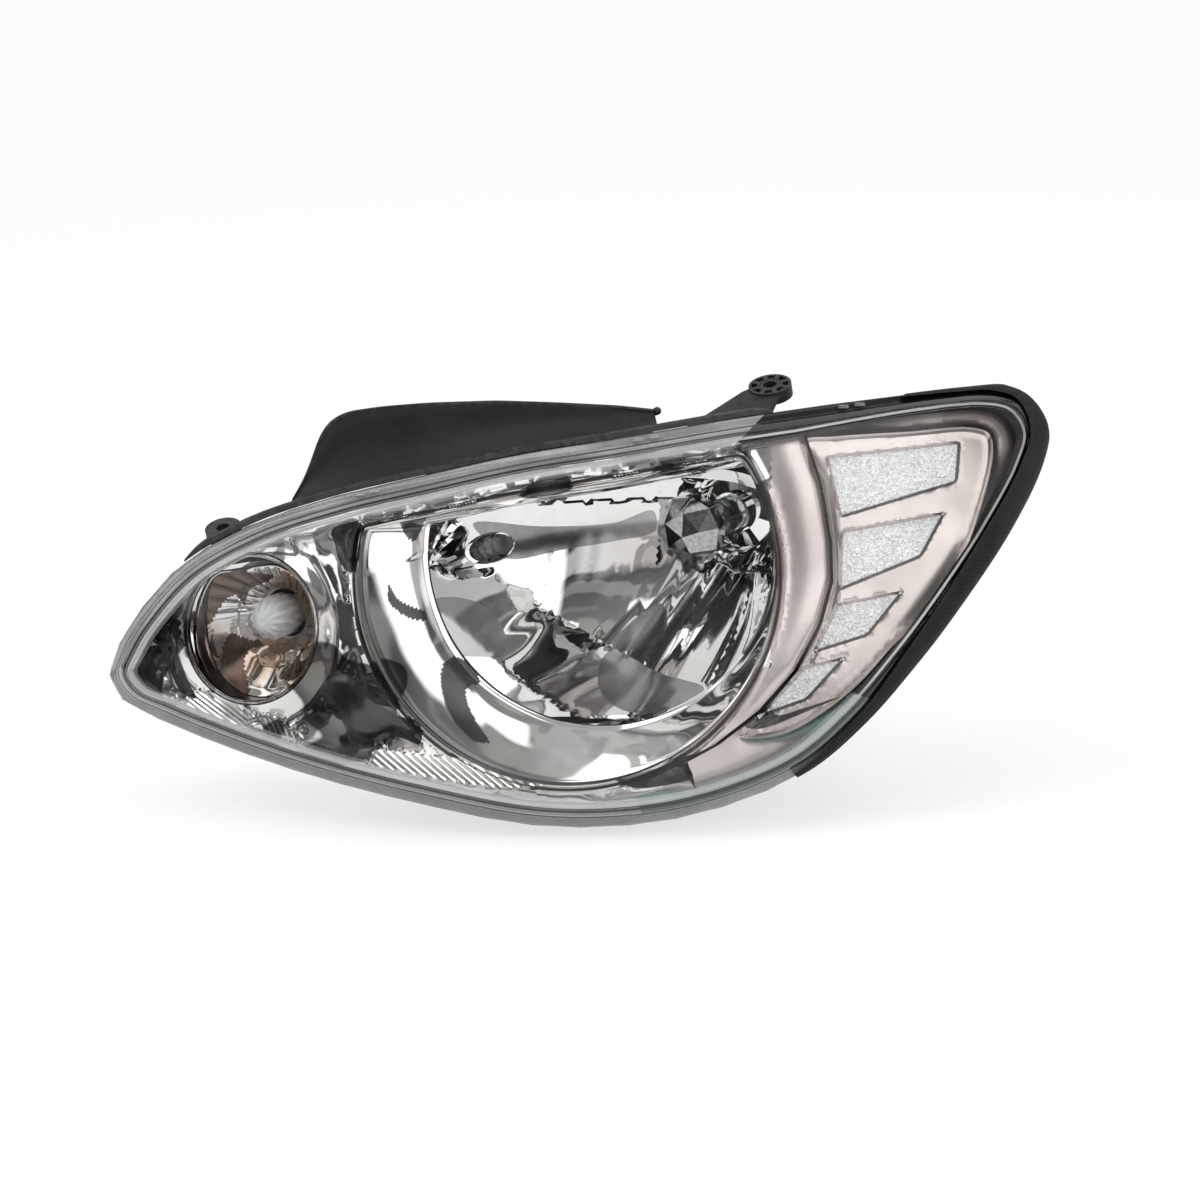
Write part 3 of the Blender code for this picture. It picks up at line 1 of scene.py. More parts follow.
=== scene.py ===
"""A car headlamp: clear cover, bright bezel and garnish, reflectors, bulbs and housing.

Design frame, in mm: x runs across, y from front to back, z up. The face of the cover is
swept about z and raked about x. In the face frame a point is (across, up) with a depth
behind the cover's curved front. The turn lamp is at the left end, the garnish at the right.
"""
from math import ceil, cos, pi, radians, sin, tau

import bmesh
import bpy
import numpy as np
from mathutils import Matrix, Quaternion, Vector
from mathutils.geometry import delaunay_2d_cdt


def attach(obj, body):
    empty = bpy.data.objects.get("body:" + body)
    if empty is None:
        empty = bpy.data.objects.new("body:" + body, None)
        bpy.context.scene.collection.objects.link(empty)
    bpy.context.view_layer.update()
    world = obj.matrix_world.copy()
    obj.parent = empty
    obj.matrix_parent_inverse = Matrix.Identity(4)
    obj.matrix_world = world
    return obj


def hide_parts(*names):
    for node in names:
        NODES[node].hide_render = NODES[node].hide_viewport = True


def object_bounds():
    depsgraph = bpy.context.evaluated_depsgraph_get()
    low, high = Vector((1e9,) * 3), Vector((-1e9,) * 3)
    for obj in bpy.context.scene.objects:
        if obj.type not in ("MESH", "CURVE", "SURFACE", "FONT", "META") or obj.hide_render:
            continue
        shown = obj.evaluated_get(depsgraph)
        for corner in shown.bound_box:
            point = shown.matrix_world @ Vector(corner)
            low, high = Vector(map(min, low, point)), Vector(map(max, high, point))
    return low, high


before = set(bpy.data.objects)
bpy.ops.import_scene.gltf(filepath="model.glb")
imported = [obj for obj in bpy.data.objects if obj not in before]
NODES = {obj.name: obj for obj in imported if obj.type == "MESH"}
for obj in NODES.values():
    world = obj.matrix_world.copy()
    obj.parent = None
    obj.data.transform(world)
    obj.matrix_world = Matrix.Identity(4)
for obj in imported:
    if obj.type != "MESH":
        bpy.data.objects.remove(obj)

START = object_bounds()
norm = np.linalg.norm

# ============================================================ main dimensions, mm
SWEEP = radians(30.0)
RAKE = radians(14.0)
FACE = np.array((Matrix.Rotation(SWEEP, 4, "Z") @ Matrix.Rotation(-RAKE, 4, "X")).to_3x3())
CROWN_ACROSS, CROWN_UP = 0.0012, 0.0014     # how fast the face curves back each way
CROWN_CENTRE = -25.0                        # foremost place of the face, both ways
ORIGIN = np.array([-47.212, 81.585, -12.349])   # design point at the scene's origin
EASE_LIMITS = [(0, 1.0, 139.27, 2.0), (1, -1.0, 78.36, 0.9)]    # axis, sign, limit, room
COVER_WALL = 2.4
BACK_Y = 172.0                              # back wall of the housing
TRIM_INSET = 5.9                            # edge of bezel and garnish, inside the rim
POSITION_X, POSITION_Z = -88.0, 4.0         # position lamp

# rim of the lamp: across, up
OUTLINE = [
    (-226, -33), (-222, -21), (-213, -6), (-191, 18), (-158, 36.5), (-119, 49.5), (-74, 60.0),
    (-28, 70.0), (19, 77.5), (71, 86.5), (131, 95.5), (182, 102.5), (203, 103.8), (217, 99.0),
    (224.5, 86), (221.5, 70), (204, 36.4), (177.5, -2.6), (158.0, -28.0), (135.0, -54.6),
    (108, -77.6), (69, -94.4), (29.8, -102.6), (-19, -103.4), (-77, -92.6), (-138.6, -76.2),
    (-200, -53.5), (-220, -43.5),
]


class Bowl:
    """A paraboloid that opens towards the front, about the line (x, z) along y."""

    def __init__(self, x, z, apex, focal):
        self.x, self.z, self.apex, self.focal = x, z, apex, focal
        self.centre = np.array([x, z])

    def y_at(self, radius):
        return self.apex - radius ** 2 / (4 * self.focal)

    def y(self, x, z):
        return self.apex - ((x - self.x) ** 2 + (z - self.z) ** 2) / (4 * self.focal)


BOWL = Bowl(x=8.5, z=18.5, apex=141.0, focal=32.0)
TURN_BOWL = Bowl(x=-151.0, z=-17.0, apex=-21.0, focal=15.5)


# ============================================================ frames and small numeric tools
def stack(*columns):
    return np.stack(columns, axis=-1)


def unit(vectors):
    return vectors / norm(vectors, axis=-1, keepdims=True)


def angles(count):
    return np.linspace(0, tau, count, endpoint=False)


def smooth(value, low, high):
    t = np.clip((np.asarray(value, float) - low) / (high - low), 0, 1)
    return t * t * (3 - 2 * t)


def hump(value, centre, width):
    """A rounded bump of height 1 at centre."""
    return np.exp(-((value - centre) / width) ** 2)


def swirl(across, up, size, seed):
    """Smooth, uneven waves between -1 and 1, about size across."""
    out, total = 0.0, 0.0
    for k in range(5):
        turn = seed * 1.7 + k * 2.399
        rate = tau / (size * (1.0 - 0.13 * k))
        weight = 1.0 / (1 + 0.35 * k)
        along = across * cos(turn) + up * sin(turn)
        aside = up * cos(turn) - across * sin(turn)
        bend = 1.4 * np.sin(rate * 0.43 * aside + seed * 2.1)
        out = out + weight * np.sin(rate * along + 1.3 * k + seed + bend)
        total += weight
    return out / total


def from_face(points):
    """Design-frame places of (across, depth, up) points."""
    return np.asarray(points, float) @ FACE.T


def face_view(x, y, z):
    """Where a design-frame point is across and up the face."""
    turned = stack(x, y, z) @ FACE
    return stack(turned[..., 0], turned[..., 2])


def metres(points):
    return (np.asarray(points, float) - ORIGIN) * 0.001


def crown(across, up):
    return CROWN_ACROSS * (across - CROWN_CENTRE) ** 2 + CROWN_UP * (up - CROWN_CENTRE) ** 2


def on_face(flat, depth):
    """Design-frame places of (across, up) points, depth behind the cover's front."""
    flat = np.asarray(flat, float)
    across, up = flat[:, 0], flat[:, 1]
    return from_face(stack(across, crown(across, up) + depth, up))


def y_on_face(x, z, depth):
    """The y that lies depth behind the cover at a given x and z."""
    y = np.full(np.shape(x), 30.0)
    for _ in range(40):
        turned = stack(x, y, z) @ FACE
        y = y + (depth - (turned[..., 1] - crown(turned[..., 0], turned[..., 2]))) * 0.9
    return y


def eased(points):
    """Design-frame points, eased in under the outer limits in x and y."""
    out = np.array(points, float)
    for axis, sign, limit, room in EASE_LIMITS:
        start = limit - room
        over = sign * out[:, axis] - start
        soft = room * (1 - np.exp(-np.clip(over, 0, None) / room))
        out[:, axis] = np.where(over > 0, sign * (start + soft), out[:, axis])
    return out


# ============================================================ outlines in a plane
def between(first, second, start, end, t):
    return (end - t) / (end - start) * first + (t - start) / (end - start) * second


def closed_spline(control, steps=24):
    """Centripetal Catmull-Rom curve through the control points."""
    points = np.array(control, float)
    count = len(points)
    out = []
    for i in range(count):
        near = [points[(i + k) % count] for k in (-1, 0, 1, 2)]
        knots = [0.0]
        for k in range(3):
            knots.append(knots[-1] + norm(near[k + 1] - near[k]) ** 0.5)
        for t in np.linspace(knots[1], knots[2], steps, endpoint=False):
            pairs = [between(near[k], near[k + 1], knots[k], knots[k + 1], t) for k in range(3)]
            threes = [between(pairs[k], pairs[k + 1], knots[k], knots[k + 2], t)
                      for k in range(2)]
            out.append(between(threes[0], threes[1], knots[1], knots[2], t))
    return np.array(out)


def resample(loop, count, bend=12.0):
    """Space count points round a loop, closer together where it bends."""
    ring = np.vstack([loop, loop[:1]])
    steps = np.diff(ring, axis=0)
    length = norm(steps, axis=1)
    tangent = steps / length[:, None]
    turn = np.arccos(np.clip((tangent * np.roll(tangent, 1, axis=0)).sum(1), -1, 1))
    curve = turn / ((length + np.roll(length, 1)) / 2)
    padded = np.r_[curve[-8:], curve, curve[:8]]
    curve = np.convolve(padded, np.ones(9) / 9, "same")[8:-8]
    weight = length * (1 + bend * (curve + np.roll(curve, -1)) / 2)
    along = np.r_[0, np.cumsum(weight)]
    want = np.linspace(0, along[-1], count, endpoint=False)
    return stack(np.interp(want, along, ring[:, 0]), np.interp(want, along, ring[:, 1]))


RIM_CURVE = closed_spline(OUTLINE)
COARSE_RIM = resample(RIM_CURVE, 48)
RIM = resample(RIM_CURVE, 288)


def offset_rim(offset, rim=RIM):
    """The rim moved outwards by offset, along lines from the frame's centre."""
    tangent = unit(np.roll(rim, -1, axis=0) - np.roll(rim, 1, axis=0))
    normal = stack(-tangent[:, 1], tangent[:, 0])
    radial = unit(rim)
    square = np.maximum(np.abs((normal * radial).sum(1)), 0.5)
    return rim + radial * (offset / square)[:, None]


def rim_ring(offset, depth, scale=1.0):
    return on_face(offset_rim(offset) * scale, depth)


def upper_height(across, offset, above=30, left_of=0, left_above=10, rim=RIM):
    """How far up the top edge of the offset rim is at a place across."""
    edge = offset_rim(offset, rim)
    left = (edge[:, 0] < left_of) & (edge[:, 1] > left_above)
    edge = edge[(edge[:, 1] > above) | left]
    edge = edge[np.argsort(edge[:, 0])]
    return np.interp(across, edge[:, 0], edge[:, 1])


def circle(centre, radius, count):
    turn = angles(count)
    return stack(centre[0] + radius * np.cos(turn), centre[1] + radius * np.sin(turn))


def clipped_ellipse(centre, radius_across, radius_up, top_gap, count):
    """An ellipse cut off at top_gap below the rim's top edge."""
    turn = angles(count)
    across = centre[0] + radius_across * np.cos(turn)
    up = centre[1] + radius_up * np.sin(turn)
    limit = upper_height(across, -top_gap, above=20, left_of=-120, left_above=-20,
                         rim=COARSE_RIM)
    return stack(across, np.minimum(up, limit))


def superellipse(centre, half, power, count):
    turn = angles(count)
    c, s = np.cos(turn), np.sin(turn)
    return stack(centre[0] + half[0] * np.sign(c) * np.abs(c) ** (2 / power),
                 centre[1] + half[1] * np.sign(s) * np.abs(s) ** (2 / power))


def spread(loop, amount):
    """Every point moved away from the loop's middle."""
    return loop + unit(loop - loop.mean(axis=0)) * amount


def rounded_loop(loop, passes):
    for _ in range(passes):
        loop = (np.roll(loop, 1, axis=0) + 2 * loop + np.roll(loop, -1, axis=0)) / 4
    return loop


def corner_curve(start, corner, end):
    return [(1 - t) ** 2 * start + 2 * t * (1 - t) * corner + t * t * end
            for t in np.linspace(0, 1, 4)]


def rounded_corners(corners, reach):
    points = np.array(corners, float)
    out = []
    for i in range(4):
        corner, before, after = points[i], points[i - 1], points[(i + 1) % 4]
        out += corner_curve(corner + unit(before - corner) * reach, corner,
                            corner + unit(after - corner) * reach)
    return np.array(out)


def bent_path(points, reach):
    """An open path whose inner corners are rounded."""
    points = [np.array(point, float) for point in points]
    out = [points[0]]
    for before, corner, after in zip(points, points[1:], points[2:]):
        back, ahead = before - corner, after - corner
        cut = min(reach, 0.45 * norm(back), 0.45 * norm(ahead))
        out += corner_curve(corner + unit(back) * cut, corner, corner + unit(ahead) * cut)
    out.append(points[-1])
    return np.array(out)


def inset(loop, amount):
    """A loop drawn in by amount, square to its sides."""
    x, y = loop[:, 0], loop[:, 1]
    area = 0.5 * np.sum(x * np.roll(y, -1) - np.roll(x, -1) * y)
    sign = 1 if area > 0 else -1
    tangent = unit(np.roll(loop, -1, axis=0) - np.roll(loop, 1, axis=0))
    return loop + stack(-tangent[:, 1], tangent[:, 0]) * amount * sign


def densify(line, step, closed=True):
    points = np.asarray(line, float)
    if closed:
        points = np.vstack([points, points[:1]])
    out = []
    for start, end in zip(points, points[1:]):
        count = max(1, int(ceil(norm(end - start) / step)))
        out += [start + (end - start) * t / count for t in range(count)]
    if not closed:
        out.append(points[-1])
    return np.array(out)


def inside(points, loop):
    loop = np.asarray(loop, float)
    x, y = points[:, 0][:, None], points[:, 1][:, None]
    x0, y0 = loop[:, 0], loop[:, 1]
    x1, y1 = np.roll(x0, -1), np.roll(y0, -1)
    crosses = (y0 > y) != (y1 > y)
    hit = x0 + (y - y0) * (x1 - x0) / np.where(y1 == y0, 1e-12, y1 - y0)
    return (crosses & (x < hit)).sum(1) % 2 == 1


def inside_any(points, loops):
    return np.any([inside(points, loop) for loop in loops], axis=0)


def distance(points, line, closed=True):
    """Distance of points to a polyline."""
    start = np.asarray(line, float)
    end = np.roll(start, -1, axis=0) if closed else start[1:]
    start = start if closed else start[:-1]
    step = end - start
    square = np.maximum((step ** 2).sum(1), 1e-12)
    best = np.full(len(points), 1e9)
    for k in range(0, len(points), 4000):       # in batches, to spare memory
        away = points[k:k + 4000][:, None] - start[None]
        t = np.clip((away * step[None]).sum(2) / square[None], 0, 1)
        gap = away - t[..., None] * step[None]
        best[k:k + 4000] = np.sqrt((gap ** 2).sum(2).min(1))
    return best


def side_of(points, line):
    """Signed distance to an open line, positive on its left."""
    line = np.asarray(line, float)
    best = np.full(len(points), 1e9)
    sign = np.ones(len(points))
    for start, step in zip(line, np.diff(line, axis=0)):
        away = points - start
        t = np.clip((away @ step) / (step ** 2).sum(), 0, 1)
        gap = np.sqrt(((away - t[:, None] * step) ** 2).sum(1))
        cross = step[0] * away[:, 1] - step[1] * away[:, 0]
        nearer = gap < best
        best = np.where(nearer, gap, best)
        sign = np.where(nearer, np.sign(cross), sign)
    return best * sign


def split_at(points, breaks, least):
    """Runs of points between the breaks, those with at least so many points."""
    runs = np.split(points, np.flatnonzero(breaks) + 1)
    return [run for run in runs if len(run) >= least]


def kept_runs(points, keep, least):
    kept = np.flatnonzero(keep)
    return split_at(points[kept], np.diff(kept) > 1, least)


def triangulate(loops, lines, keep, step):
    """A fine triangulation that follows every loop and line, where keep() says yes."""
    fixed, edges = [], []
    for group, closed in [(loop, True) for loop in loops] + [(line, False) for line in lines]:
        start, count = len(fixed), len(group)
        fixed += [tuple(point) for point in group]
        edges += [(start + i, start + (i + 1) % count)
                  for i in range(count if closed else count - 1)]
    fixed = np.array(fixed)
    low, high = fixed.min(0), fixed.max(0)
    columns = np.arange(low[0], high[0], step)
    rows = np.arange(low[1], high[1], step * 0.866)
    grid = np.array([(x + (step / 2 if k % 2 else 0), y)
                     for k, y in enumerate(rows) for x in columns])
    grid = grid[keep(grid)]
    near = np.full(len(grid), 1e9)
    for k in range(0, len(grid), 2000):
        away = grid[k:k + 2000, None] - fixed[None]
        near[k:k + 2000] = np.sqrt((away ** 2).sum(2).min(1))
    grid = grid[near > step * 0.5]
    points = [Vector(point) for point in fixed] + [Vector(point) for point in grid]
    verts, _edges, faces, *_rest = delaunay_2d_cdt(points, edges, [], 0, 1e-4)
    verts = np.array([tuple(point) for point in verts])
    faces = np.array([tuple(face) for face in faces if len(face) == 3])
    faces = faces[keep(verts[faces].mean(1))]
    first, second, third = (verts[faces[:, k]] for k in range(3))
    one, two = second - first, third - first
    area = 0.5 * (one[:, 0] * two[:, 1] - two[:, 0] * one[:, 1])
    faces = faces[np.abs(area) > 1e-5]
    used = np.unique(faces)
    index = np.full(len(verts), -1)
    index[used] = np.arange(len(used))
    return verts[used], index[faces]


# ============================================================ solids: each gives verts, faces
def slab(front, back, tris):
    """A closed sheet: front and back triangles and a wall round every open edge."""
    count = len(front)
    faces = [tuple(tri) for tri in tris] + [tuple(count + tri[::-1]) for tri in tris]
    edges = dict.fromkeys((int(tri[i]), int(tri[(i + 1) % 3])) for tri in tris for i in range(3))
    for start, end in edges:
        if (end, start) not in edges:
            faces.append((end, start, count + start, count + end))
    return np.vstack([front, back]), faces


def loft(rings, closed=False):
    """Skin over rings; closed joins last to first, otherwise both ends are capped."""
    count = len(rings[0])
    verts = np.vstack(rings)
    faces = []
    for i in range(len(rings) if closed else len(rings) - 1):
        k = (i + 1) % len(rings)
        for j in range(count):
            m = (j + 1) % count
            faces.append((i * count + j, i * count + m, k * count + m, k * count + j))
    if not closed:
        for i in (0, len(rings) - 1):
            hub = len(verts)
            verts = np.vstack([verts, np.mean(rings[i], axis=0)])
            faces += [(i * count + j, i * count + (j + 1) % count, hub) for j in range(count)]
    return verts, faces


def lathe(profile, at, steps, wobble=None):
    """A solid turned about y (profile: radius, along). wobble scales the radius."""
    turn = angles(steps)
    rings = []
    for radius, along in profile:
        radius = max(radius, 1e-3)
        around = radius * (wobble(turn, radius, along) if wobble else 1.0)
        ring = stack(around * np.cos(turn), np.full(steps, along), -around * np.sin(turn))
        rings.append(np.array(at, float) + ring)
    return loft(rings, closed=profile[0][0] > 1e-3 and profile[-1][0] > 1e-3)


def block(low, high, round_off):
    """A box with its twelve edges cut back by round_off."""
    low, high = np.array(low, float), np.array(high, float)
    centre, half = (low + high) / 2, (high - low) / 2
    bm = bmesh.new()
    bmesh.ops.create_cube(bm, size=2.0)
    for vert in bm.verts:
        vert.co = Vector(centre + np.array(vert.co) * half)
    bmesh.ops.bevel(bm, geom=bm.edges[:], offset=round_off, segments=2, profile=0.5,
                    affect="EDGES")
    bm.verts.index_update()
    verts = np.array([tuple(vert.co) for vert in bm.verts])
    faces = [tuple(vert.index for vert in face.verts) for face in bm.faces]
    bm.free()
    return verts, faces


def strip(path, across, width, thick):
    """A flat bar with chamfered edges along a path."""
    across = unit(np.array(across, float))
    chamfer = thick * 0.35
    rings = []
    for i, point in enumerate(path):
        along = path[min(i + 1, len(path) - 1)] - path[max(i - 1, 0)]
        normal = unit(np.cross(unit(along), across))
        rings.append(np.array([
            point + across * side + normal * lift
            for side, lift in ((width / 2 - chamfer, thick / 2), (width / 2, 0),
                               (width / 2 - chamfer, -thick / 2),
                               (chamfer - width / 2, -thick / 2), (-width / 2, 0),
                               (chamfer - width / 2, thick / 2))]))
    return loft(rings)


def joined(*parts):
    verts, faces, start = [], [], 0
    for part_verts, part_faces in parts:
        verts.append(part_verts)
        faces += [tuple(int(i) + start for i in face) for face in part_faces]
        start += len(part_verts)
    return np.vstack(verts), faces


# ============================================================ materials
class Graph:
    """A few words for building a node tree."""

    def __init__(self, owner):
        owner.use_nodes = True
        self.tree = owner.node_tree
        self.tree.nodes.clear()
        self.object_coord = None

    def put(self, socket, value):
        if hasattr(value, "is_output"):
            self.tree.links.new(value, socket)
        else:
            socket.default_value = value

    def new(self, kind, **props):
        """A node; in_Name or in_0 sets or links an input, other words set properties."""
        node = self.tree.nodes.new(kind)
        for word, value in props.items():
            if word.startswith("in_"):
                key = word[3:]
                key = int(key) if key.isdigit() else key.replace("_", " ")
                self.put(node.inputs[key], value)
            else:
                setattr(node, word, value)
        return node

    def calc(self, operation, first, second=0.0, clamp=False):
        return self.new("ShaderNodeMath", operation=operation, use_clamp=clamp,
                        in_0=first, in_1=second).outputs[0]

    def ramp(self, value, stops):
        """A colour ramp; a stop is its place and a colour or a grey level."""
        node = self.new("ShaderNodeValToRGB", in_0=value)
        elements = node.color_ramp.elements
        while len(elements) < len(stops):
            elements.new(0.5)
        for element, (place, colour) in zip(elements, stops):
            element.position = place
            element.color = (*(colour if isinstance(colour, tuple) else (colour,) * 3), 1)
        return node.outputs[0]

    def mix(self, factor, first, second, mode="MIX"):
        node = self.new("ShaderNodeMix", data_type="RGBA", blend_type=mode)
        for index, value in ((0, factor), (6, first), (7, second)):
            self.put(node.inputs[index], (*value, 1) if isinstance(value, tuple) else value)
        return node.outputs[2]

    def coord(self):
        if self.object_coord is None:
            self.object_coord = self.new("ShaderNodeTexCoord").outputs["Object"]
        return self.object_coord

    def noise(self, scale, detail=4.0, rough=0.5, vector=None, distort=0.0):
        return self.new("ShaderNodeTexNoise", in_Scale=scale, in_Detail=detail,
                        in_Roughness=rough, in_Distortion=distort,
                        in_Vector=self.coord() if vector is None else vector).outputs["Fac"]

    def voronoi(self, scale):
        return self.new("ShaderNodeTexVoronoi", in_Scale=scale, in_Vector=self.coord())

    def bump(self, height, strength, dist, normal=None):
        node = self.new("ShaderNodeBump", in_Strength=strength, in_Distance=dist,
                        in_Height=height)
        if normal is not None:
            self.put(node.inputs["Normal"], normal)
        return node.outputs["Normal"]

    def mix_shader(self, factor, first, second):
        return self.new("ShaderNodeMixShader", in_0=factor, in_1=first, in_2=second).outputs[0]


def new_material(name):
    material = bpy.data.materials.new(name)
    graph = Graph(material)
    graph.out = graph.new("ShaderNodeOutputMaterial")
    return material, graph


def solid(name, colour, rough, metal=0.0, vary=0.15, vary_scale=60.0, grain=1800.0,
          grain_depth=0.00003, grain_kind="noise", rough_vary=0.12, wear=0.25,
          wear_colour=None, dust=0.0, spec=0.5, tint=None, wave=0.0, wave_scale=25.0,
          painted_reflections=None):
    """An opaque surface.

    vary, vary_scale: strength and scale of the colour mottling; tint: colour of broad spots
    grain, grain_depth, wave, wave_scale: scale and depth (m) of fine and broad relief
    wear, dust: how much the edges are rubbed and the upward faces dusted
    pools: scale, twist and level of broad patches of painted dark reflection
    """
    material, g = new_material(name)
    mottle = g.noise(vary_scale, 5.0, 0.6)
    fine = g.noise(vary_scale * 9, 3.0, 0.6)
    base = np.array(colour, float)
    low, high = (tuple(np.clip(base * k, 0, 1)) for k in (1 - vary, 1 + vary))
    tone = g.ramp(mottle, [(0.3, low), (0.7, high)])
    if tint:
        spots = g.ramp(g.noise(vary_scale * 0.35, 2.0), [(0.42, 0), (0.62, 1)])
        tone = g.mix(spots, tone, tint)
    # painted dark reflections: broad swirly patches, darkest just inside their edge, multiplied
    # into the base colour
    if painted_reflections:
        level = painted_reflections["level"]
        folds = g.noise(painted_reflections["scale"], 1.5, 0.45, distort=painted_reflections["twist"])
        shape = g.ramp(folds, [(level - 0.10, 1), (level, 0.80),
                               (level + 0.012, (0.10, 0.10, 0.105)),
                               (level + 0.09, (0.22, 0.215, 0.21))])
        tone = g.mix(1.0, tone, shape, "MULTIPLY")
    geometry = g.new("ShaderNodeNewGeometry")
    edge = g.ramp(geometry.outputs["Pointiness"], [(0.505, 0), (0.56, 1)])
    patchy = g.calc("MULTIPLY", edge, g.ramp(fine, [(0.4, 0), (0.62, 1)]))
    worn = g.calc("MULTIPLY", patchy, wear)
    tone = g.mix(worn, tone, wear_colour or tuple(np.clip(base * 1.9 + 0.03, 0, 1)))
    if dust:
        facing = g.new("ShaderNodeSeparateXYZ", in_0=geometry.outputs["Normal"]).outputs["Z"]
        settled = g.calc("MULTIPLY", g.ramp(facing, [(0.2, 0), (1.0, 1)]),
                         g.ramp(fine, [(0.35, 0), (0.8, 1)]))
        tone = g.mix(g.calc("MULTIPLY", settled, dust), tone, (0.42, 0.41, 0.39))
    uneven = g.calc("MULTIPLY", g.calc("SUBTRACT", fine, 0.5), rough_vary * 2)
    roughness = g.calc("ADD", uneven, rough, clamp=True)
    if grain_kind == "voronoi":
        height = g.voronoi(grain).outputs["Distance"]
    elif grain_kind == "brushed":
        stretched = g.new("ShaderNodeMapping", in_Vector=g.coord(), in_Scale=(1.0, 0.06, 1.0))
        height = g.noise(grain, 3.0, 0.6, vector=stretched.outputs["Vector"])
    else:
        height = g.noise(grain, 3.0, 0.6)
    normal = g.bump(height, 1.0, grain_depth)
    if wave:
        normal = g.bump(g.noise(wave_scale, 2.0, 0.5), 1.0, wave, normal)
    shader = g.new("ShaderNodeBsdfPrincipled", in_Base_Color=tone, in_Roughness=roughness,
                   in_Normal=normal, in_Metallic=metal, in_Specular_IOR_Level=spec)
    g.put(g.out.inputs[0], shader.outputs[0])
    return material


def clear(name, tint, body=0.0, body_colour=(0.8, 0.81, 0.82), rough=0.02, shine=1.0,
          edge_tint=None, scratches=0.05, wave=0.0):
    """A thin clear wall with a reflection that grows at a glancing angle.

    tint, edge_tint: colour of light passing straight and glancing through
    body, body_colour, scratches: even and patchy share of a plain surface, and its colour
    shine: strength of the reflection; wave: extra depth of the relief, m
    """
    material, g = new_material(name)
    hair = g.noise(900.0, 3.0, 0.6)
    normal = g.bump(g.noise(30.0, 3.0, 0.5), 1.0, 0.00004 + wave)
    normal = g.bump(hair, 0.4, 0.000004, normal)
    through = g.new("ShaderNodeBsdfTransparent", in_0=(*tint, 1))
    if edge_tint:
        facing = g.new("ShaderNodeLayerWeight", in_Blend=0.35).outputs["Facing"]
        glancing = g.ramp(facing, [(0.25, 0), (0.95, 1)])
        g.put(through.inputs[0], g.mix(glancing, tint, edge_tint))
    uneven = g.calc("MULTIPLY", g.noise(40.0, 4.0), 0.05)
    gloss = g.new("ShaderNodeBsdfGlossy", in_Color=(1, 1, 1, 1),
                  in_Roughness=g.calc("ADD", uneven, rough), in_Normal=normal)
    fresnel = g.new("ShaderNodeFresnel", in_IOR=1.5, in_Normal=normal)
    path = g.new("ShaderNodeLightPath")
    # only the outside of the wall mirrors, and diffuse rays go straight through
    geometry = g.new("ShaderNodeNewGeometry")
    front = g.calc("SUBTRACT", 1.0, geometry.outputs["Backfacing"])
    factor = g.calc("MULTIPLY", g.calc("MULTIPLY", fresnel.outputs[0], shine), front)
    direct = g.calc("SUBTRACT", 1.0, path.outputs["Is Diffuse Ray"])
    factor = g.calc("MULTIPLY", factor, direct, clamp=True)
    wall = g.mix_shader(factor, through.outputs[0], gloss.outputs[0])
    patches = g.ramp(g.noise(55.0, 6.0, 0.65), [(0.45, 0), (0.8, 1)])
    haze = g.calc("ADD", g.calc("MULTIPLY", patches, scratches), body, clamp=True)
    plain = g.new("ShaderNodeBsdfPrincipled", in_Base_Color=(*body_colour, 1),
                  in_Roughness=0.35)
    g.put(g.out.inputs[0], g.mix_shader(haze, wall, plain.outputs[0]))
    return material


def sparkle(name):
    """Frosted bright coating: thousands of tiny facets of two sizes."""
    material, g = new_material(name)
    coarse = g.voronoi(760.0)
    fine = g.voronoi(1700.0)
    normal = g.bump(coarse.outputs["Distance"], 1.0, 0.0016)
    normal = g.bump(fine.outputs["Distance"], 0.6, 0.0005, normal)
    tone = g.ramp(coarse.outputs["Color"], [(0.0, (0.78, 0.78, 0.79)), (1.0, 1.0)])
    cloud = g.ramp(g.noise(30.0, 3.0), [(0.35, 0), (0.7, 1)])
    rough = g.calc("ADD", g.calc("MULTIPLY", g.noise(400.0, 2.0), 0.2), 0.28)
    shader = g.new("ShaderNodeBsdfPrincipled",
                   in_Base_Color=g.mix(cloud, tone, (0.97, 0.96, 0.95), "MULTIPLY"),
                   in_Metallic=0.10, in_Roughness=rough, in_Normal=normal)
    g.put(g.out.inputs[0], shader.outputs[0])
    return material


# settings shared by families of materials
PLATED = dict(metal=1.0, grain=900, wear=0.0)
COATED = dict(metal=1.0, grain=700)
BRUSHED = dict(metal=1.0, grain=1400, grain_kind="brushed", wear=0.3)
MOULDED = dict(grain=2400, grain_depth=0.00005, grain_kind="voronoi", wear=0.35)

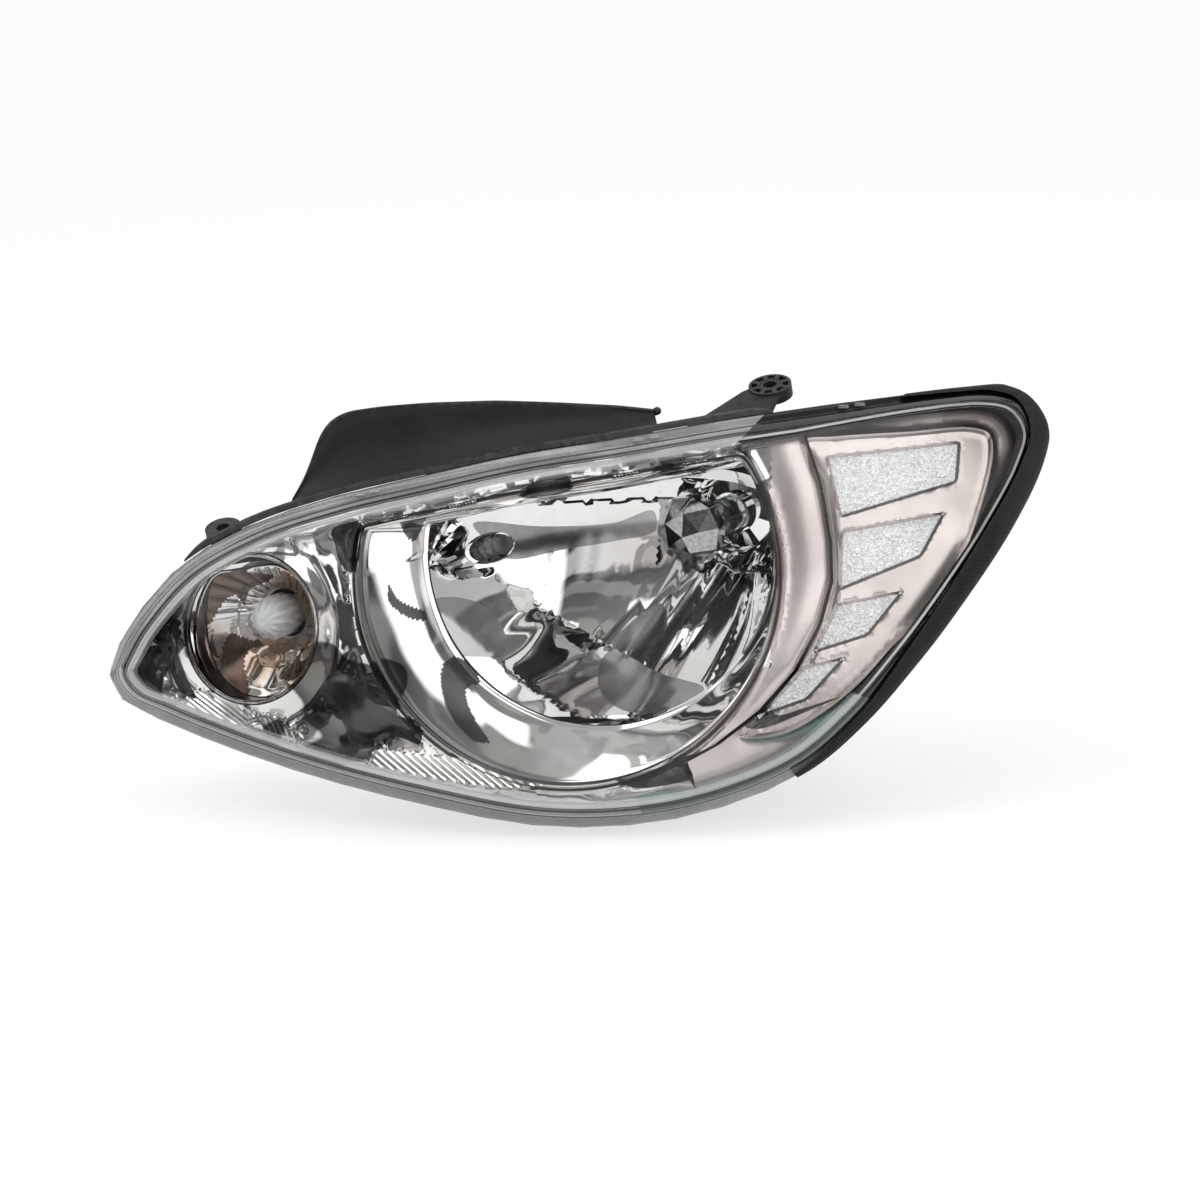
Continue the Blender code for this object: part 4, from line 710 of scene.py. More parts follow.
# material slots of pieces with several finishes are in the alphabetical order of these keys
MATERIALS = {
    # the bezel chrome has broad patches of painted dark reflection in its colour
    "chrome": solid(
        "chrome_bezel", (0.86, 0.85, 0.84), rough=0.05, vary=0.03, grain_depth=0.000002,
        rough_vary=0.03, tint=(0.88, 0.86, 0.83), wave=0.00012, wave_scale=22,
        painted_reflections=dict(scale=15.0, twist=1.0, level=0.585), **PLATED),
    "chrome_shade": solid(
        "chrome_shaded", (0.075, 0.075, 0.08), rough=0.20, vary=0.30, vary_scale=30,
        grain_depth=0.000001, rough_vary=0.03, tint=(0.13, 0.125, 0.12), **PLATED),
    "chrome_warm": solid(
        "chrome_garnish", (0.68, 0.61, 0.59), rough=0.25, vary=0.04, grain_depth=0.000003,
        rough_vary=0.04, tint=(0.54, 0.48, 0.46), wave=0.0001, wave_scale=14, **PLATED),
    "mirror": solid(
        "reflector_coating", (0.88, 0.88, 0.88), rough=0.03, vary=0.05, grain_depth=0.000002,
        rough_vary=0.02, wear=0.0, tint=(0.84, 0.82, 0.80), wave=0.00005, wave_scale=26,
        **COATED),
    "turn_shade": solid(
        "turn_bowl_shaded", (0.13, 0.09, 0.07), rough=0.22, vary=0.30, vary_scale=40,
        grain_depth=0.000001, rough_vary=0.02, wear=0.0, tint=(0.075, 0.06, 0.05), **COATED),
    "mirror_shade": solid(
        "reflector_shaded", (0.34, 0.34, 0.345), rough=0.12, vary=0.30, vary_scale=28,
        grain_depth=0.000001, rough_vary=0.02, wear=0.0, tint=(0.44, 0.435, 0.43), **COATED),
    "mirror_dark": solid(
        "cap_coating", (0.40, 0.40, 0.41), rough=0.06, vary=0.12, grain_depth=0.000002,
        rough_vary=0.03, wear=0.3, wear_colour=(0.8, 0.8, 0.8), tint=(0.30, 0.30, 0.31),
        **COATED),
    "mirror_amber": solid(
        "turn_bowl_coating", (0.70, 0.69, 0.68), rough=0.04, vary=0.25, vary_scale=75,
        grain_depth=0.000002, rough_vary=0.03, wear=0.0, tint=(0.42, 0.29, 0.21), **COATED),
    "sparkle": sparkle("frosted_coating"),
    "housing": solid(
        "housing_plastic", (0.014, 0.014, 0.015), rough=0.50, vary=0.25, vary_scale=35,
        grain=2600, grain_depth=0.00006, grain_kind="voronoi", wear=0.35, dust=0.05,
        tint=(0.018, 0.018, 0.0195), spec=0.35),
    "panel": solid(
        "panel_plastic", (0.0085, 0.0085, 0.0092), rough=0.36, vary=0.25, vary_scale=30,
        grain=3200, grain_depth=0.00002, grain_kind="voronoi", wear=0.4, dust=0.03,
        tint=(0.011, 0.011, 0.012), spec=0.32),
    "rubber": solid(
        "seal_rubber", (0.007, 0.007, 0.0075), rough=0.70, vary=0.3, vary_scale=70,
        grain=1500, grain_depth=0.00008, wear=0.3, dust=0.05, spec=0.25),
    "sealant": solid(
        "sealant", (0.05, 0.05, 0.055), rough=0.6, vary=0.2, vary_scale=80, grain=500,
        grain_depth=0.0002, wear=0.1),
    "steel": solid(
        "plated_steel", (0.64, 0.64, 0.65), rough=0.28, vary=0.12, vary_scale=120,
        wear_colour=(0.8, 0.8, 0.8), tint=(0.60, 0.59, 0.52), **BRUSHED),
    "brass": solid(
        "brass", (0.72, 0.57, 0.28), rough=0.26, vary=0.14, vary_scale=150,
        tint=(0.60, 0.45, 0.22), **BRUSHED),
    "tungsten": solid(
        "tungsten", (0.36, 0.36, 0.38), rough=0.4, metal=1.0, vary=0.2, vary_scale=400,
        grain=4000, grain_depth=0.00002, wear=0.0),
    "nylon": solid(
        "nylon", (0.83, 0.81, 0.74), rough=0.42, vary=0.06, vary_scale=120, grain=1600,
        wear=0.2, wear_colour=(0.9, 0.89, 0.85), dust=0.12, tint=(0.78, 0.75, 0.66)),
    "grey": solid(
        "grey_plastic", (0.20, 0.205, 0.21), rough=0.45, vary=0.12, vary_scale=50,
        dust=0.12, tint=(0.17, 0.172, 0.18), **MOULDED),
    "black": solid(
        "black_plastic", (0.013, 0.013, 0.014), rough=0.42, vary=0.25, dust=0.10, **MOULDED),
    "wire": solid(
        "wire_insulation", (0.02, 0.02, 0.021), rough=0.5, vary=0.2, vary_scale=200,
        grain=1500, wear=0.2, dust=0.08),
    "dark": solid(
        "dark_edge_paint", (0.012, 0.012, 0.013), rough=0.35, vary=0.3, grain=1500,
        grain_depth=0.00002, wear=0.1),
    "lens": clear("cover_clear", (0.985, 0.99, 0.99), shine=0.75, scratches=0.012),
    "lens_edge": clear(
        "cover_edge", (0.88, 0.89, 0.89), body=0.11, body_colour=(0.78, 0.79, 0.80),
        rough=0.06, shine=2.4, edge_tint=(0.60, 0.66, 0.66), scratches=0.10, wave=0.0002),
    "glass_bright": clear(
        "turn_bulb_glass_wall", (0.90, 0.91, 0.91), body=0.30, body_colour=(0.88, 0.89, 0.90),
        rough=0.03, shine=3.2, edge_tint=(0.5, 0.52, 0.53), scratches=0.18, wave=0.0006),
    "lens_rib": clear(
        "cover_ribs", (0.80, 0.81, 0.81), body=0.30, body_colour=(0.9, 0.9, 0.9),
        rough=0.04, shine=3.0, edge_tint=(0.35, 0.36, 0.36)),
    "lens_dark": clear(
        "cover_edge_shaded", (0.10, 0.10, 0.105), body=0.25, body_colour=(0.018, 0.018, 0.019),
        rough=0.10, shine=0.9, edge_tint=(0.04, 0.04, 0.04), scratches=0.10, wave=0.0002),
    # dark lines painted on the cover's shoulder bends, in place of the dark reflections there
    "lens_line": clear(
        "cover_edge_painted_reflection_line", (0.16, 0.165, 0.17), body=0.20, body_colour=(0.05, 0.052, 0.055),
        rough=0.06, shine=1.2, edge_tint=(0.06, 0.065, 0.07), scratches=0.10, wave=0.0002),
    "lens_teal": clear(
        "cover_edge_cool", (0.42, 0.62, 0.58), body=0.10, body_colour=(0.25, 0.36, 0.35),
        rough=0.05, shine=1.6, edge_tint=(0.2, 0.42, 0.40), scratches=0.10, wave=0.0002),
    "glass": clear(
        "bulb_glass", (0.97, 0.98, 0.98), shine=1.3, edge_tint=(0.62, 0.66, 0.67),
        scratches=0.02, body=0.02),
    "glass_thick": clear(
        "bulb_glass_thick", (0.94, 0.95, 0.95), body=0.06, body_colour=(0.85, 0.86, 0.87),
        rough=0.03, shine=1.8, edge_tint=(0.5, 0.53, 0.54), scratches=0.06, wave=0.0004),
}


# ============================================================ placing pieces
def turn_outwards(mesh):
    bm = bmesh.new()
    bm.from_mesh(mesh)
    bmesh.ops.recalc_face_normals(bm, faces=bm.faces[:])
    bm.to_mesh(mesh)
    bm.free()


def link_object(name, data):
    ob = bpy.data.objects.new(name, data)
    bpy.context.scene.collection.objects.link(ob)
    return ob


def add_piece(name, solid_parts, kinds, slots, body, replaces, sharp, validate):
    verts, faces = solid_parts
    mesh = bpy.data.meshes.new(name)
    mesh.from_pydata(metres(verts).tolist(), [], faces)
    mesh.polygons.foreach_set("material_index", [slots.index(kind) for kind in kinds])
    for kind in slots:
        mesh.materials.append(MATERIALS[kind])
    turn_outwards(mesh)
    mesh.shade_smooth()
    mesh.set_sharp_from_angle(angle=radians(sharp))
    if validate:
        mesh.validate()
    ob = link_object(name, mesh)
    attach(ob, body)
    if replaces:
        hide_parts(replaces)


def piece(name, groups, body, replaces=None, sharp=35.0):
    """One object from groups of (verts in mm, faces, material key)."""
    kinds = [kind for _verts, faces, kind in groups for _face in faces]
    add_piece(name, joined(*[group[:2] for group in groups]), kinds,
              list(dict.fromkeys(kinds)), body, replaces, sharp, validate=True)


def painted_piece(name, parts, kinds, body, replaces=None, sharp=35.0):
    """One object from (verts, faces) parts, with a material key for every face."""
    add_piece(name, joined(*parts), kinds, sorted(set(kinds)), body, replaces, sharp,
              validate=False)


# ============================================================ clear cover
# offset from the rim and depth: the outside from the back edge to the front, then the inside
COVER_OUTER = [
    (-1.2, 27.0), (-1.2, 20.0), (-1.2, 14.7), (2.2, 14.7), (2.6, 14.2), (2.4, 13.6),
    (-0.6, 13.3), (-1.3, 12.6), (-1.5, 9.5), (-2.4, 6.0), (-2.9, 4.6), (-3.6, 4.1),
    (-4.1, 3.1), (-5.2, 2.2), (-5.7, 2.3), (-6.2, 1.4), (-8.2, 0.45), (-10.0, 0.0),
]
COVER_INNER = [
    (-11.5, COVER_WALL), (-9.4, COVER_WALL + 0.5), (-7.8, COVER_WALL + 1.6), (-5.9, 5.4),
    (-4.9, 8.0), (-4.1, 11.0), (-3.6, 15.0), (-3.6, 20.0), (-3.6, 27.0),
]
COVER_SCALES = [0.985, 0.96, 0.92, 0.87, 0.8, 0.72, 0.63, 0.54, 0.45, 0.36, 0.27, 0.18, 0.1, 0.04]


def build_cover():
    rings = [rim_ring(*station) for station in COVER_OUTER]
    rings += [rim_ring(-10, 0, scale) for scale in COVER_SCALES]
    front_last = len(rings) - 1
    rings += [rim_ring(-10, COVER_WALL, scale) for scale in COVER_SCALES[::-1]]
    rings += [rim_ring(*station) for station in COVER_INNER]
    rows, count = len(rings), len(RIM)
    across, up = RIM[:, 0], RIM[:, 1]
    right_end = ((across > 118) & (up > -44)) | ((across > 84) & (up > 40))
    low = (across > 30) & (up < -20) & ~right_end

    def finish(i, j):
        if len(COVER_OUTER) - 1 <= i < rows - len(COVER_INNER):
            return "lens"
        if right_end[j]:
            return "lens_dark" if i < 13 or i >= rows - 8 else "lens"
        # three rings at bends of the shoulder carry painted dark reflection lines
        if i in (8, 12, 14):
            return "lens_line"
        if low[j] and (7 <= i <= 13 or i in (rows - 6, rows - 5)):
            return "lens_teal"
        return "lens_edge"

    verts, faces = loft(rings, closed=True)
    # the two middle rings are closed to hubs, not joined to each other
    faces = faces[:front_last * count] + faces[(front_last + 1) * count:]
    kinds = [finish(i, j) for i in range(rows) if i != front_last for j in range(count)]
    for i, depth in ((front_last, 0.0), (front_last + 1, COVER_WALL)):
        hub = len(verts)
        verts = np.vstack([verts, on_face([[0.0, 0.0]], depth)])
        faces += [(i * count + j, i * count + (j + 1) % count, hub) for j in range(count)]
        kinds += ["lens"] * count
    painted_piece("cover", [(eased(verts), faces)], kinds, "housing",
                  "lens_cover")


def build_cover_ribs():
    """Fine ribs on the inside of the cover's shoulder."""
    outer, inner = -6.9, -9.2       # offsets from the rim
    depth, height, pitch = COVER_WALL + 1.6, 0.8, 1.6
    loop = densify(offset_rim((inner + outer) / 2), 0.4)
    ring = np.vstack([loop, loop[:1]])
    along = np.r_[0, np.cumsum(norm(np.diff(ring, axis=0), axis=1))]
    count = int(along[-1] / pitch) * 4
    want = np.linspace(0, along[-1], count, endpoint=False)
    centre = stack(np.interp(want, along, ring[:, 0]), np.interp(want, along, ring[:, 1]))
    tangent = unit(np.roll(centre, -3, axis=0) - np.roll(centre, 3, axis=0))
    normal = stack(tangent[:, 1], -tangent[:, 0])
    half = (outer - inner) / 2
    lift = np.where(np.arange(count) % 4 < 2, height, 0.0)
    section = [(-1, 0.0), (-0.6, lift), (0.6, lift), (1, 0.0), (1, -0.25), (-1, -0.25)]
    rows = [on_face(centre + normal * half * side, depth + rise) for side, rise in section]
    piece("cover_ribs", [(*loft(rows, closed=True), "lens_rib")], "housing",
          sharp=60)


# ============================================================ bezel (all outlines: across, up)
MAIN_CENTRE, FUNNEL_CENTRE = (-6.0, 14.0), (11.0, 26.0)
MAIN = rounded_loop(clipped_ellipse(MAIN_CENTRE, 101.0, 101.0, 17.0, 360), 6)
FUNNEL = rounded_loop(clipped_ellipse(FUNNEL_CENTRE, 84.0, 84.0, 20.5, 360), 6)
TURN = rounded_loop(clipped_ellipse((-159.0, -11.0), 31.0, 35.0, 10.5, 180), 4)
TRIM_RIM = offset_rim(-TRIM_INSET)
FUNNEL_ROWS = 72

# the border between bezel and garnish, then points beyond the rim that close it round
BORDER_LINE = np.array([
    (104, 108), (107, 86.4), (115.5, 60), (120.5, 31), (121, 12), (115, -9.6), (103, -32),
    (86, -51), (65, -67), (50, -75)], float)
BEYOND = np.array([(62, -110), (130, -140), (260, -60), (260, 130), (104, 140)], float)
ZONE = np.vstack([BORDER_LINE, BEYOND])

# bands of flutes: outline, direction of the ribs, pitch, height
FLUTES = [
    (np.array([(-190.08, -41.28), (-173.76, -40.32), (-157.92, -49.44), (-159.84, -59.52),
               (-176.64, -56.16), (-192.96, -49.44)]), (1.0, -0.75), 2.0, 0.7),
    (np.array([(-99.84, -68.64), (-79.2, -71.04), (-63.36, -72.48), (-38.4, -78.24),
               (-15.36, -83.04), (-20.16, -86.88), (-36.48, -88.8), (-62.4, -85.44),
               (-86.4, -81.12), (-102.72, -77.28)]), (1.0, -0.85), 2.5, 0.95),
    (np.array([(-156.96, -51.36), (-149.76, -51.36), (-134.4, -61.92), (-136.32, -67.2),
               (-151.68, -62.88)]), (0.4, -1.0), 2.4, 0.7),
]
LOW_DIP = np.array([(28.8, -77.28), (57.6, -70.56), (88.32, -64.8), (77.76, -76.32),
                    (52.8, -88.8)])
TIP_EDGE = np.array([(-202.56, -3.36), (-205.44, -20.64), (-201.6, -36.0), (-193.92, -46.56)])
TIP = np.vstack([TIP_EDGE, [(-230.4, -74.4), (-230.4, 2.4)]])

# shaded hollows of the bezel's front
HOLLOWS = [closed_spline(control, 5) for control in (
    [(-118.56, -33.12), (-107.52, -36.0), (-98.88, -46.08), (-86.88, -53.28),
     (-77.76, -56.16), (-77.28, -66.72), (-88.32, -63.36), (-101.76, -67.2),
     (-110.4, -63.84), (-116.16, -53.28), (-123.84, -44.16)],
    [(-207.36, -9.12), (-201.6, -7.2), (-196.32, -19.68), (-189.12, -37.92),
     (-185.76, -44.64), (-192.96, -42.24), (-200.16, -28.32)],
    [(-119.52, 36.48), (-109.44, 41.28), (-104.16, 37.92), (-105.6, 26.88),
     (-109.92, 15.84), (-115.68, 20.64), (-118.08, 28.8)],
    [(15.36, -82.08), (32.64, -76.32), (57.6, -71.52), (77.76, -66.72), (82.56, -70.56),
     (65.28, -80.16), (42.24, -86.88), (24.0, -87.84)],
)]
# shaded patches of the funnel: a comma, a curl and a sweep
FUNNEL_SHADES = [closed_spline(control, 6) for control in (
    [(-67.2, -32.16), (-64.32, -25.92), (-58.56, -24.96), (-50.88, -31.68),
     (-48.96, -36.96), (-54.72, -40.32), (-53.76, -48.48), (-48.96, -58.08),
     (-44.16, -65.76), (-49.92, -65.76), (-59.04, -58.08), (-65.28, -46.08)],
    [(-92.16, 10.08), (-88.32, 3.36), (-81.6, -0.48), (-74.88, -2.88), (-74.4, -6.72),
     (-81.6, -6.24), (-88.32, -2.4), (-92.16, 2.4)],
    [(-87.36, 50.4), (-84.48, 56.16), (-79.68, 60.96), (-74.88, 62.88), (-72.0, 55.2),
     (-74.88, 40.8), (-80.64, 31.2), (-85.44, 36.0)],
)]


def across_ribs(loop, direction):
    """Unit normal to the ribs, and how far along it each point of the loop is."""
    along = unit(np.array(direction, float))
    normal = np.array([-along[1], along[0]])
    return normal, loop @ normal


def rib_lines(loop, direction, pitch):
    """Lines along the ridges and valleys of a fluted band, clipped to its outline."""
    normal, reach = across_ribs(loop, direction)
    lines = []
    for level in np.arange(reach.min() + pitch / 2, reach.max(), pitch / 2):
        hits = []
        for start, end in zip(loop, np.roll(loop, -1, axis=0)):
            before, after = start @ normal - level, end @ normal - level
            if (before > 0) != (after > 0):
                hits.append(start + (end - start) * before / (before - after))
        if len(hits) == 2 and norm(hits[1] - hits[0]) > pitch:
            short = unit(hits[1] - hits[0]) * 0.35
            lines.append(densify([hits[0] + short, hits[1] - short], 1.6, closed=False))
    return lines


def rib_height(points, loop, direction, pitch, height):
    normal, reach = across_ribs(loop, direction)
    phase = (points @ normal - reach.min()) / pitch
    triangle = 1 - np.abs(2 * (phase - np.floor(phase)) - 1)
    fade = np.clip(distance(points, loop) / 0.6, 0, 1)
    return np.where(inside(points, loop), height * triangle * fade, 0.0)


def bezel_depth(points):
    """Depth of the bezel's front behind the cover; heights are taken off it, in mm."""
    across, up = points[:, 0], points[:, 1]
    depth = np.full(len(points), 12.6)
    # a lip, a groove and a second bead round the main opening
    main = distance(points, MAIN)
    depth -= 1.9 * hump(main, 0.7, 0.55) + 1.2 * hump(main, 3.6, 0.8)
    depth += 0.8 * hump(main, 2.0, 0.5)
    # the wide band right of it swells gently, then dips before the garnish
    wide = smooth(across, 60, 90)
    border = distance(points, BORDER_LINE, closed=False)
    depth -= wide * 0.9 * hump(border, 9.0, 9.0)
    depth += wide * 1.2 * hump(border, 0.0, 1.6)
    # round the turn lamp: a thin lip, and a long hollow beyond it
    turn = distance(points, TURN)
    depth -= 3.4 * hump(turn, 0.6, 0.7) + 2.4 * np.exp(-(turn / 7.0) ** 2)
    depth += 1.5 * hump(turn, 11.0, 4.5)
    # two sets of creases and flowing waves on the land between the lamps and along the bottom
    crease = np.abs((((across * 0.55 + up * 0.85) / 19.0) % 2) - 1)
    depth += 0.7 * crease * smooth(-across, -40, 60) * smooth(main, 3, 14) * smooth(turn, 3, 12)
    land = smooth(main, 3, 12) * smooth(turn, 3, 12) * (1 - wide)
    depth -= 0.6 * np.abs((((across * 0.9 - up * 0.45) / 27.0) % 2) - 1) * land
    waves = 1.6 * swirl(across, up, 52, 1.0) + 0.16 * swirl(across, up, 19, 2.0)
    depth += land * smooth(across, -196, -180) * waves
    # the plain tip at the left end
    depth = np.where(inside(points, TIP), 11.0 + 0.06 * (across + 200), depth)
    dip = 2.2 * np.clip(distance(points, LOW_DIP) / 8, 0, 1)
    depth = np.where(inside(points, LOW_DIP), depth + dip, depth)
    for loop, direction, pitch, height in FLUTES:
        depth = np.where(inside(points, loop), 11.6, depth)
        depth -= rib_height(points, loop, direction, pitch, height)
    for loop in HOLLOWS:
        bowl = 1.2 * np.clip(distance(points, loop) / 4.0, 0, 1)
        depth += np.where(inside(points, loop), bowl, 0.0)
    # the edge turns back next to the cover
    depth += 1.4 * hump(distance(points, TRIM_RIM), 0.0, 1.6)
    return np.clip(depth, 7.2, 16.0)


def bezel_keep(points):
    return inside(points, TRIM_RIM) & ~inside_any(points, (MAIN, TURN, ZONE))


def ring_lines(loop, offsets, step, gap):
    """Runs of rings round an opening, broken where the bezel isn't there."""
    lines = []
    for offset in offsets:
        ring = densify(spread(loop, offset), step)
        ring = ring[bezel_keep(ring)]
        lines += split_at(ring, norm(np.diff(ring, axis=0), axis=1) >= gap, 4)
    return lines


def funnel_shape(loop, share):
    """The funnel's wavy section, at a share of the way back."""
    centre = np.array(FUNNEL_CENTRE) * share + np.array(MAIN_CENTRE) * (1 - share)
    out = loop - centre
    angle = np.arctan2(out[:, 1], out[:, 0])
    swell = sin(pi * share)
    left = np.clip(-np.cos(angle - 0.5), 0, 1)
    lobes = np.abs(np.sin(angle * 2.0 + share * 1.2 + 0.6))
    grow = -swell * (2.2 * left + 0.8) - swell * left * lobes
    grow = grow + swell * 0.8 * swirl(angle * 80, share * 26, 52, 3.0) * (0.4 + left)
    grow = grow - 0.9 * hump(share, 0.93, 0.03) + 0.5 * hump(share, 0.05, 0.03)
    return loop + unit(out) * grow[:, None]


def sleeve(front, back, front_depth, back_depth, rows, wall, shape=None):
    """A walled tube between two openings."""
    inner, outer = [], []
    for share in np.linspace(0, 1, rows):
        loop = front * (1 - share) + back * share
        if shape:
            loop = shape(loop, share)
        depth = front_depth + (back_depth - front_depth) * share
        inner.append(on_face(loop, depth))
        outer.append(on_face(spread(loop, wall), depth + (0.6 if share < 0.05 else 0.0)))
    return loft(inner + outer[::-1], closed=True)


def build_bezel():
    lines = []
    for loop, direction, pitch, _height in FLUTES:
        lines += rib_lines(loop, direction, pitch)
    lines += ring_lines(MAIN, (0.7, 1.4, 2.0, 2.8, 3.6, 4.6), step=1.8, gap=3.0)
    lines += ring_lines(TURN, (0.6, 1.3, 2.2), step=1.2, gap=2.2)
    border = densify(BORDER_LINE, 2.0, closed=False)
    lines += [border, densify(TIP_EDGE, 2.0, closed=False)]
    tangent = unit(np.gradient(border, axis=0))
    for offset in (0.8, 1.7, 2.8, 4.2):
        line = border + stack(tangent[:, 1], -tangent[:, 0]) * offset
        lines.append(line[bezel_keep(line)])
    loops = [densify(TRIM_RIM, 2.0), densify(MAIN, 1.8), densify(TURN, 1.2),
             densify(LOW_DIP, 2.0)]
    loops += [densify(flute[0], 1.5) for flute in FLUTES]
    loops += [densify(loop, 1.4) for loop in HOLLOWS]
    loops += [densify(offset_rim(-offset), 2.0) for offset in (6.7, 7.6, 8.6)]

    flat, tris = triangulate(loops, lines, bezel_keep, 2.6)
    depth = bezel_depth(flat)
    plate = slab(on_face(flat, depth), on_face(flat, np.maximum(depth, 12.0) + 1.4), tris)
    # the funnel behind the main opening and the short tube behind the turn lamp's
    funnel = sleeve(spread(MAIN, -0.15), FUNNEL, 11.6, 33.6, FUNNEL_ROWS, 1.3, funnel_shape)
    turn_edge = spread(TURN, -0.15)
    tube = sleeve(turn_edge, turn_edge, 9.6, 18.7, 6, 1.1)

    middle = flat[tris].mean(1)
    warm = (middle[:, 0] > 92) | ((middle[:, 0] > 40) & (middle[:, 1] < -30))
    main, turn = distance(middle, MAIN), distance(middle, TURN)
    shaded = inside_any(middle, HOLLOWS)
    shaded |= ((main > 1.4) & (main < 2.0)) | ((turn > 1.3) & (turn < 2.2))
    kinds = ["chrome_shade" if shade else "chrome_warm" if rosy else "chrome"
             for shade, rosy in zip(shaded, warm)] * 2
    kinds += ["chrome"] * (len(plate[1]) - len(kinds))
    # the funnel's inner skin is shaded in patches and at both ends
    middle = face_view(*funnel[0][np.array(funnel[1])].mean(1).T)
    row = np.arange(len(middle)) // len(MAIN)
    shaded = inside_any(middle, FUNNEL_SHADES) | (row < 4) | (row > FUNNEL_ROWS - 5)
    shaded &= row < FUNNEL_ROWS - 1
    kinds += ["chrome_shade" if shade else "chrome" for shade in shaded]
    kinds += ["chrome"] * len(tube[1])
    painted_piece("bezel_chrome", [plate, funnel, tube], kinds, "housing",
                  "bezel", sharp=28)


# ============================================================ outer garnish
GARNISH_LINE = BORDER_LINE + np.array([1.6, -0.8])
GARNISH_ZONE = np.vstack([GARNISH_LINE, BEYOND])
# corners of the windows: across, up, from the upper left round by the right
WINDOWS = [
    [(119.0, 72.1), (186, 79.5), (184, 59), (126.0, 41.5)],
    [(126.4, 35.8), (178.5, 45.1), (166, 22.7), (125.0, 6.2)],
    [(124.5, 0.6), (158, 7), (139.5, -15.5), (112.0, -24.0)],
    [(108.5, -29.8), (129.6, -25), (109.8, -46.4), (84, -55.5)],
]
WINDOW_LOOPS = [rounded_corners(corners, 2.2) for corners in WINDOWS]
SLOPE_WIDTH = 1.5       # of the slope round each window's floor
WINDOW_FLOORS = [inset(loop, SLOPE_WIDTH) for loop in WINDOW_LOOPS]
WINDOW_FRAMES = [inset(loop, -0.8) for loop in WINDOW_LOOPS]
# raised line round all the windows
RIDGE = resample(closed_spline([
    (108.6, 79.2), (123.8, 81.4), (160.7, 83.9), (190.5, 86.0), (200.0, 83.0), (201.5, 73.1),
    (196, 49.5), (184.2, 18.6), (169.4, -3.5), (151.8, -19.7), (137.1, -35.9), (119.4, -50.6),
    (97.4, -62.6), (78.3, -63.6), (94.0, -51.0), (107.0, -33.5), (118.0, -12.5), (123.6, 10.0),
    (123.2, 31), (118.2, 60)], 12), 190, 6.0)
# shaded wedge at the lower left
WEDGE = closed_spline([
    (109.92, -14.88), (105.12, -24.48), (95.52, -38.88), (84.96, -50.88), (79.2, -58.56),
    (86.4, -60.0), (105.6, -53.28), (125.76, -44.64), (108.48, -49.92), (94.56, -53.28),
    (91.68, -49.92), (99.84, -38.4), (108.48, -25.44)], 5)


def garnish_keep(points):
    return inside(points, TRIM_RIM) & inside(points, GARNISH_ZONE)


def garnish_depth(points):
    ridge = distance(points, RIDGE)
    depth = 11.6 + np.where(inside(points, RIDGE), 0.9 * smooth(ridge, 0.5, 3.0),
                            0.35 * smooth(ridge, 1.0, 8.0))
    depth -= 2.0 * hump(ridge, 0.0, 1.5)
    # a shallow dip close round each window, then a slope down to its floor
    for loop in WINDOW_LOOPS:
        edge = distance(points, loop)
        within = inside(points, loop)
        depth += np.where(within, 0.0, 0.35 * (1 - smooth(edge, 0.0, 0.8)))
        depth = np.where(within, 12.5 + 2.6 * np.clip(edge / SLOPE_WIDTH, 0, 1), depth)
    depth += hump(distance(points, TRIM_RIM), 0.0, 1.2)
    return np.clip(depth, 8.6, 16.4)


def build_garnish():
    loops = [densify(TRIM_RIM, 1.8), densify(RIDGE, 1.6)]
    loops += [densify(inset(RIDGE, offset), 1.6) for offset in (-2.2, -1.1, 1.1, 2.2)]
    loops += [densify(loop, 1.4)
              for loop in WINDOW_LOOPS + WINDOW_FLOORS + WINDOW_FRAMES + [WEDGE]]
    lines = [densify(GARNISH_LINE, 1.8, closed=False)]
    flat, tris = triangulate(loops, lines, garnish_keep, 2.0)
    depth = garnish_depth(flat)
    verts, faces = slab(on_face(flat, depth), on_face(flat, np.maximum(depth, 12.6) + 1.5), tris)
    middle = flat[tris].mean(1)
    frosted = inside_any(middle, WINDOW_FLOORS)
    # the slopes along each window's right and lower sides are shaded
    shaded = np.zeros(len(middle), bool)
    for loop, corners in zip(WINDOW_LOOPS, WINDOWS):
        sides = [distance(middle, [corners[i], corners[(i + 1) % 4]], closed=False)
                 for i in range(4)]
        shaded |= inside(middle, loop) & np.isin(np.argmin(sides, axis=0), (1, 2))
    shaded |= inside(middle, WEDGE) & ~frosted
    kinds = ["sparkle" if frost else "chrome_shade" if shade else "chrome_warm"
             for frost, shade in zip(frosted, shaded)]
    kinds += ["chrome_warm"] * (len(faces) - len(kinds))
    painted_piece("garnish", [(verts, faces)], kinds, "housing",
                  "outer_garnish", sharp=30)


# ============================================================ shared by both bowls
def trimmed_edge(edge, bowl, clearance, depth, least):
    """Draw a bowl's edge (x, z) in where the bowl would come through the given depth."""
    reach = norm(edge - bowl.centre, axis=1)
    out = unit(edge - bowl.centre)

    def room(i, radius):
        x, z = bowl.centre + out[i] * radius
        return bowl.y_at(radius) - clearance - float(y_on_face(x, z, depth))

    for i in range(len(reach)):
        if room(i, reach[i]) < 0:
            low, high = least, reach[i]
            for _ in range(16):
                middle = (low + high) / 2
                low, high = (middle, high) if room(i, middle) > 0 else (low, middle)
            reach[i] = low
    return rounded_loop(bowl.centre + out * reach[:, None], 2)


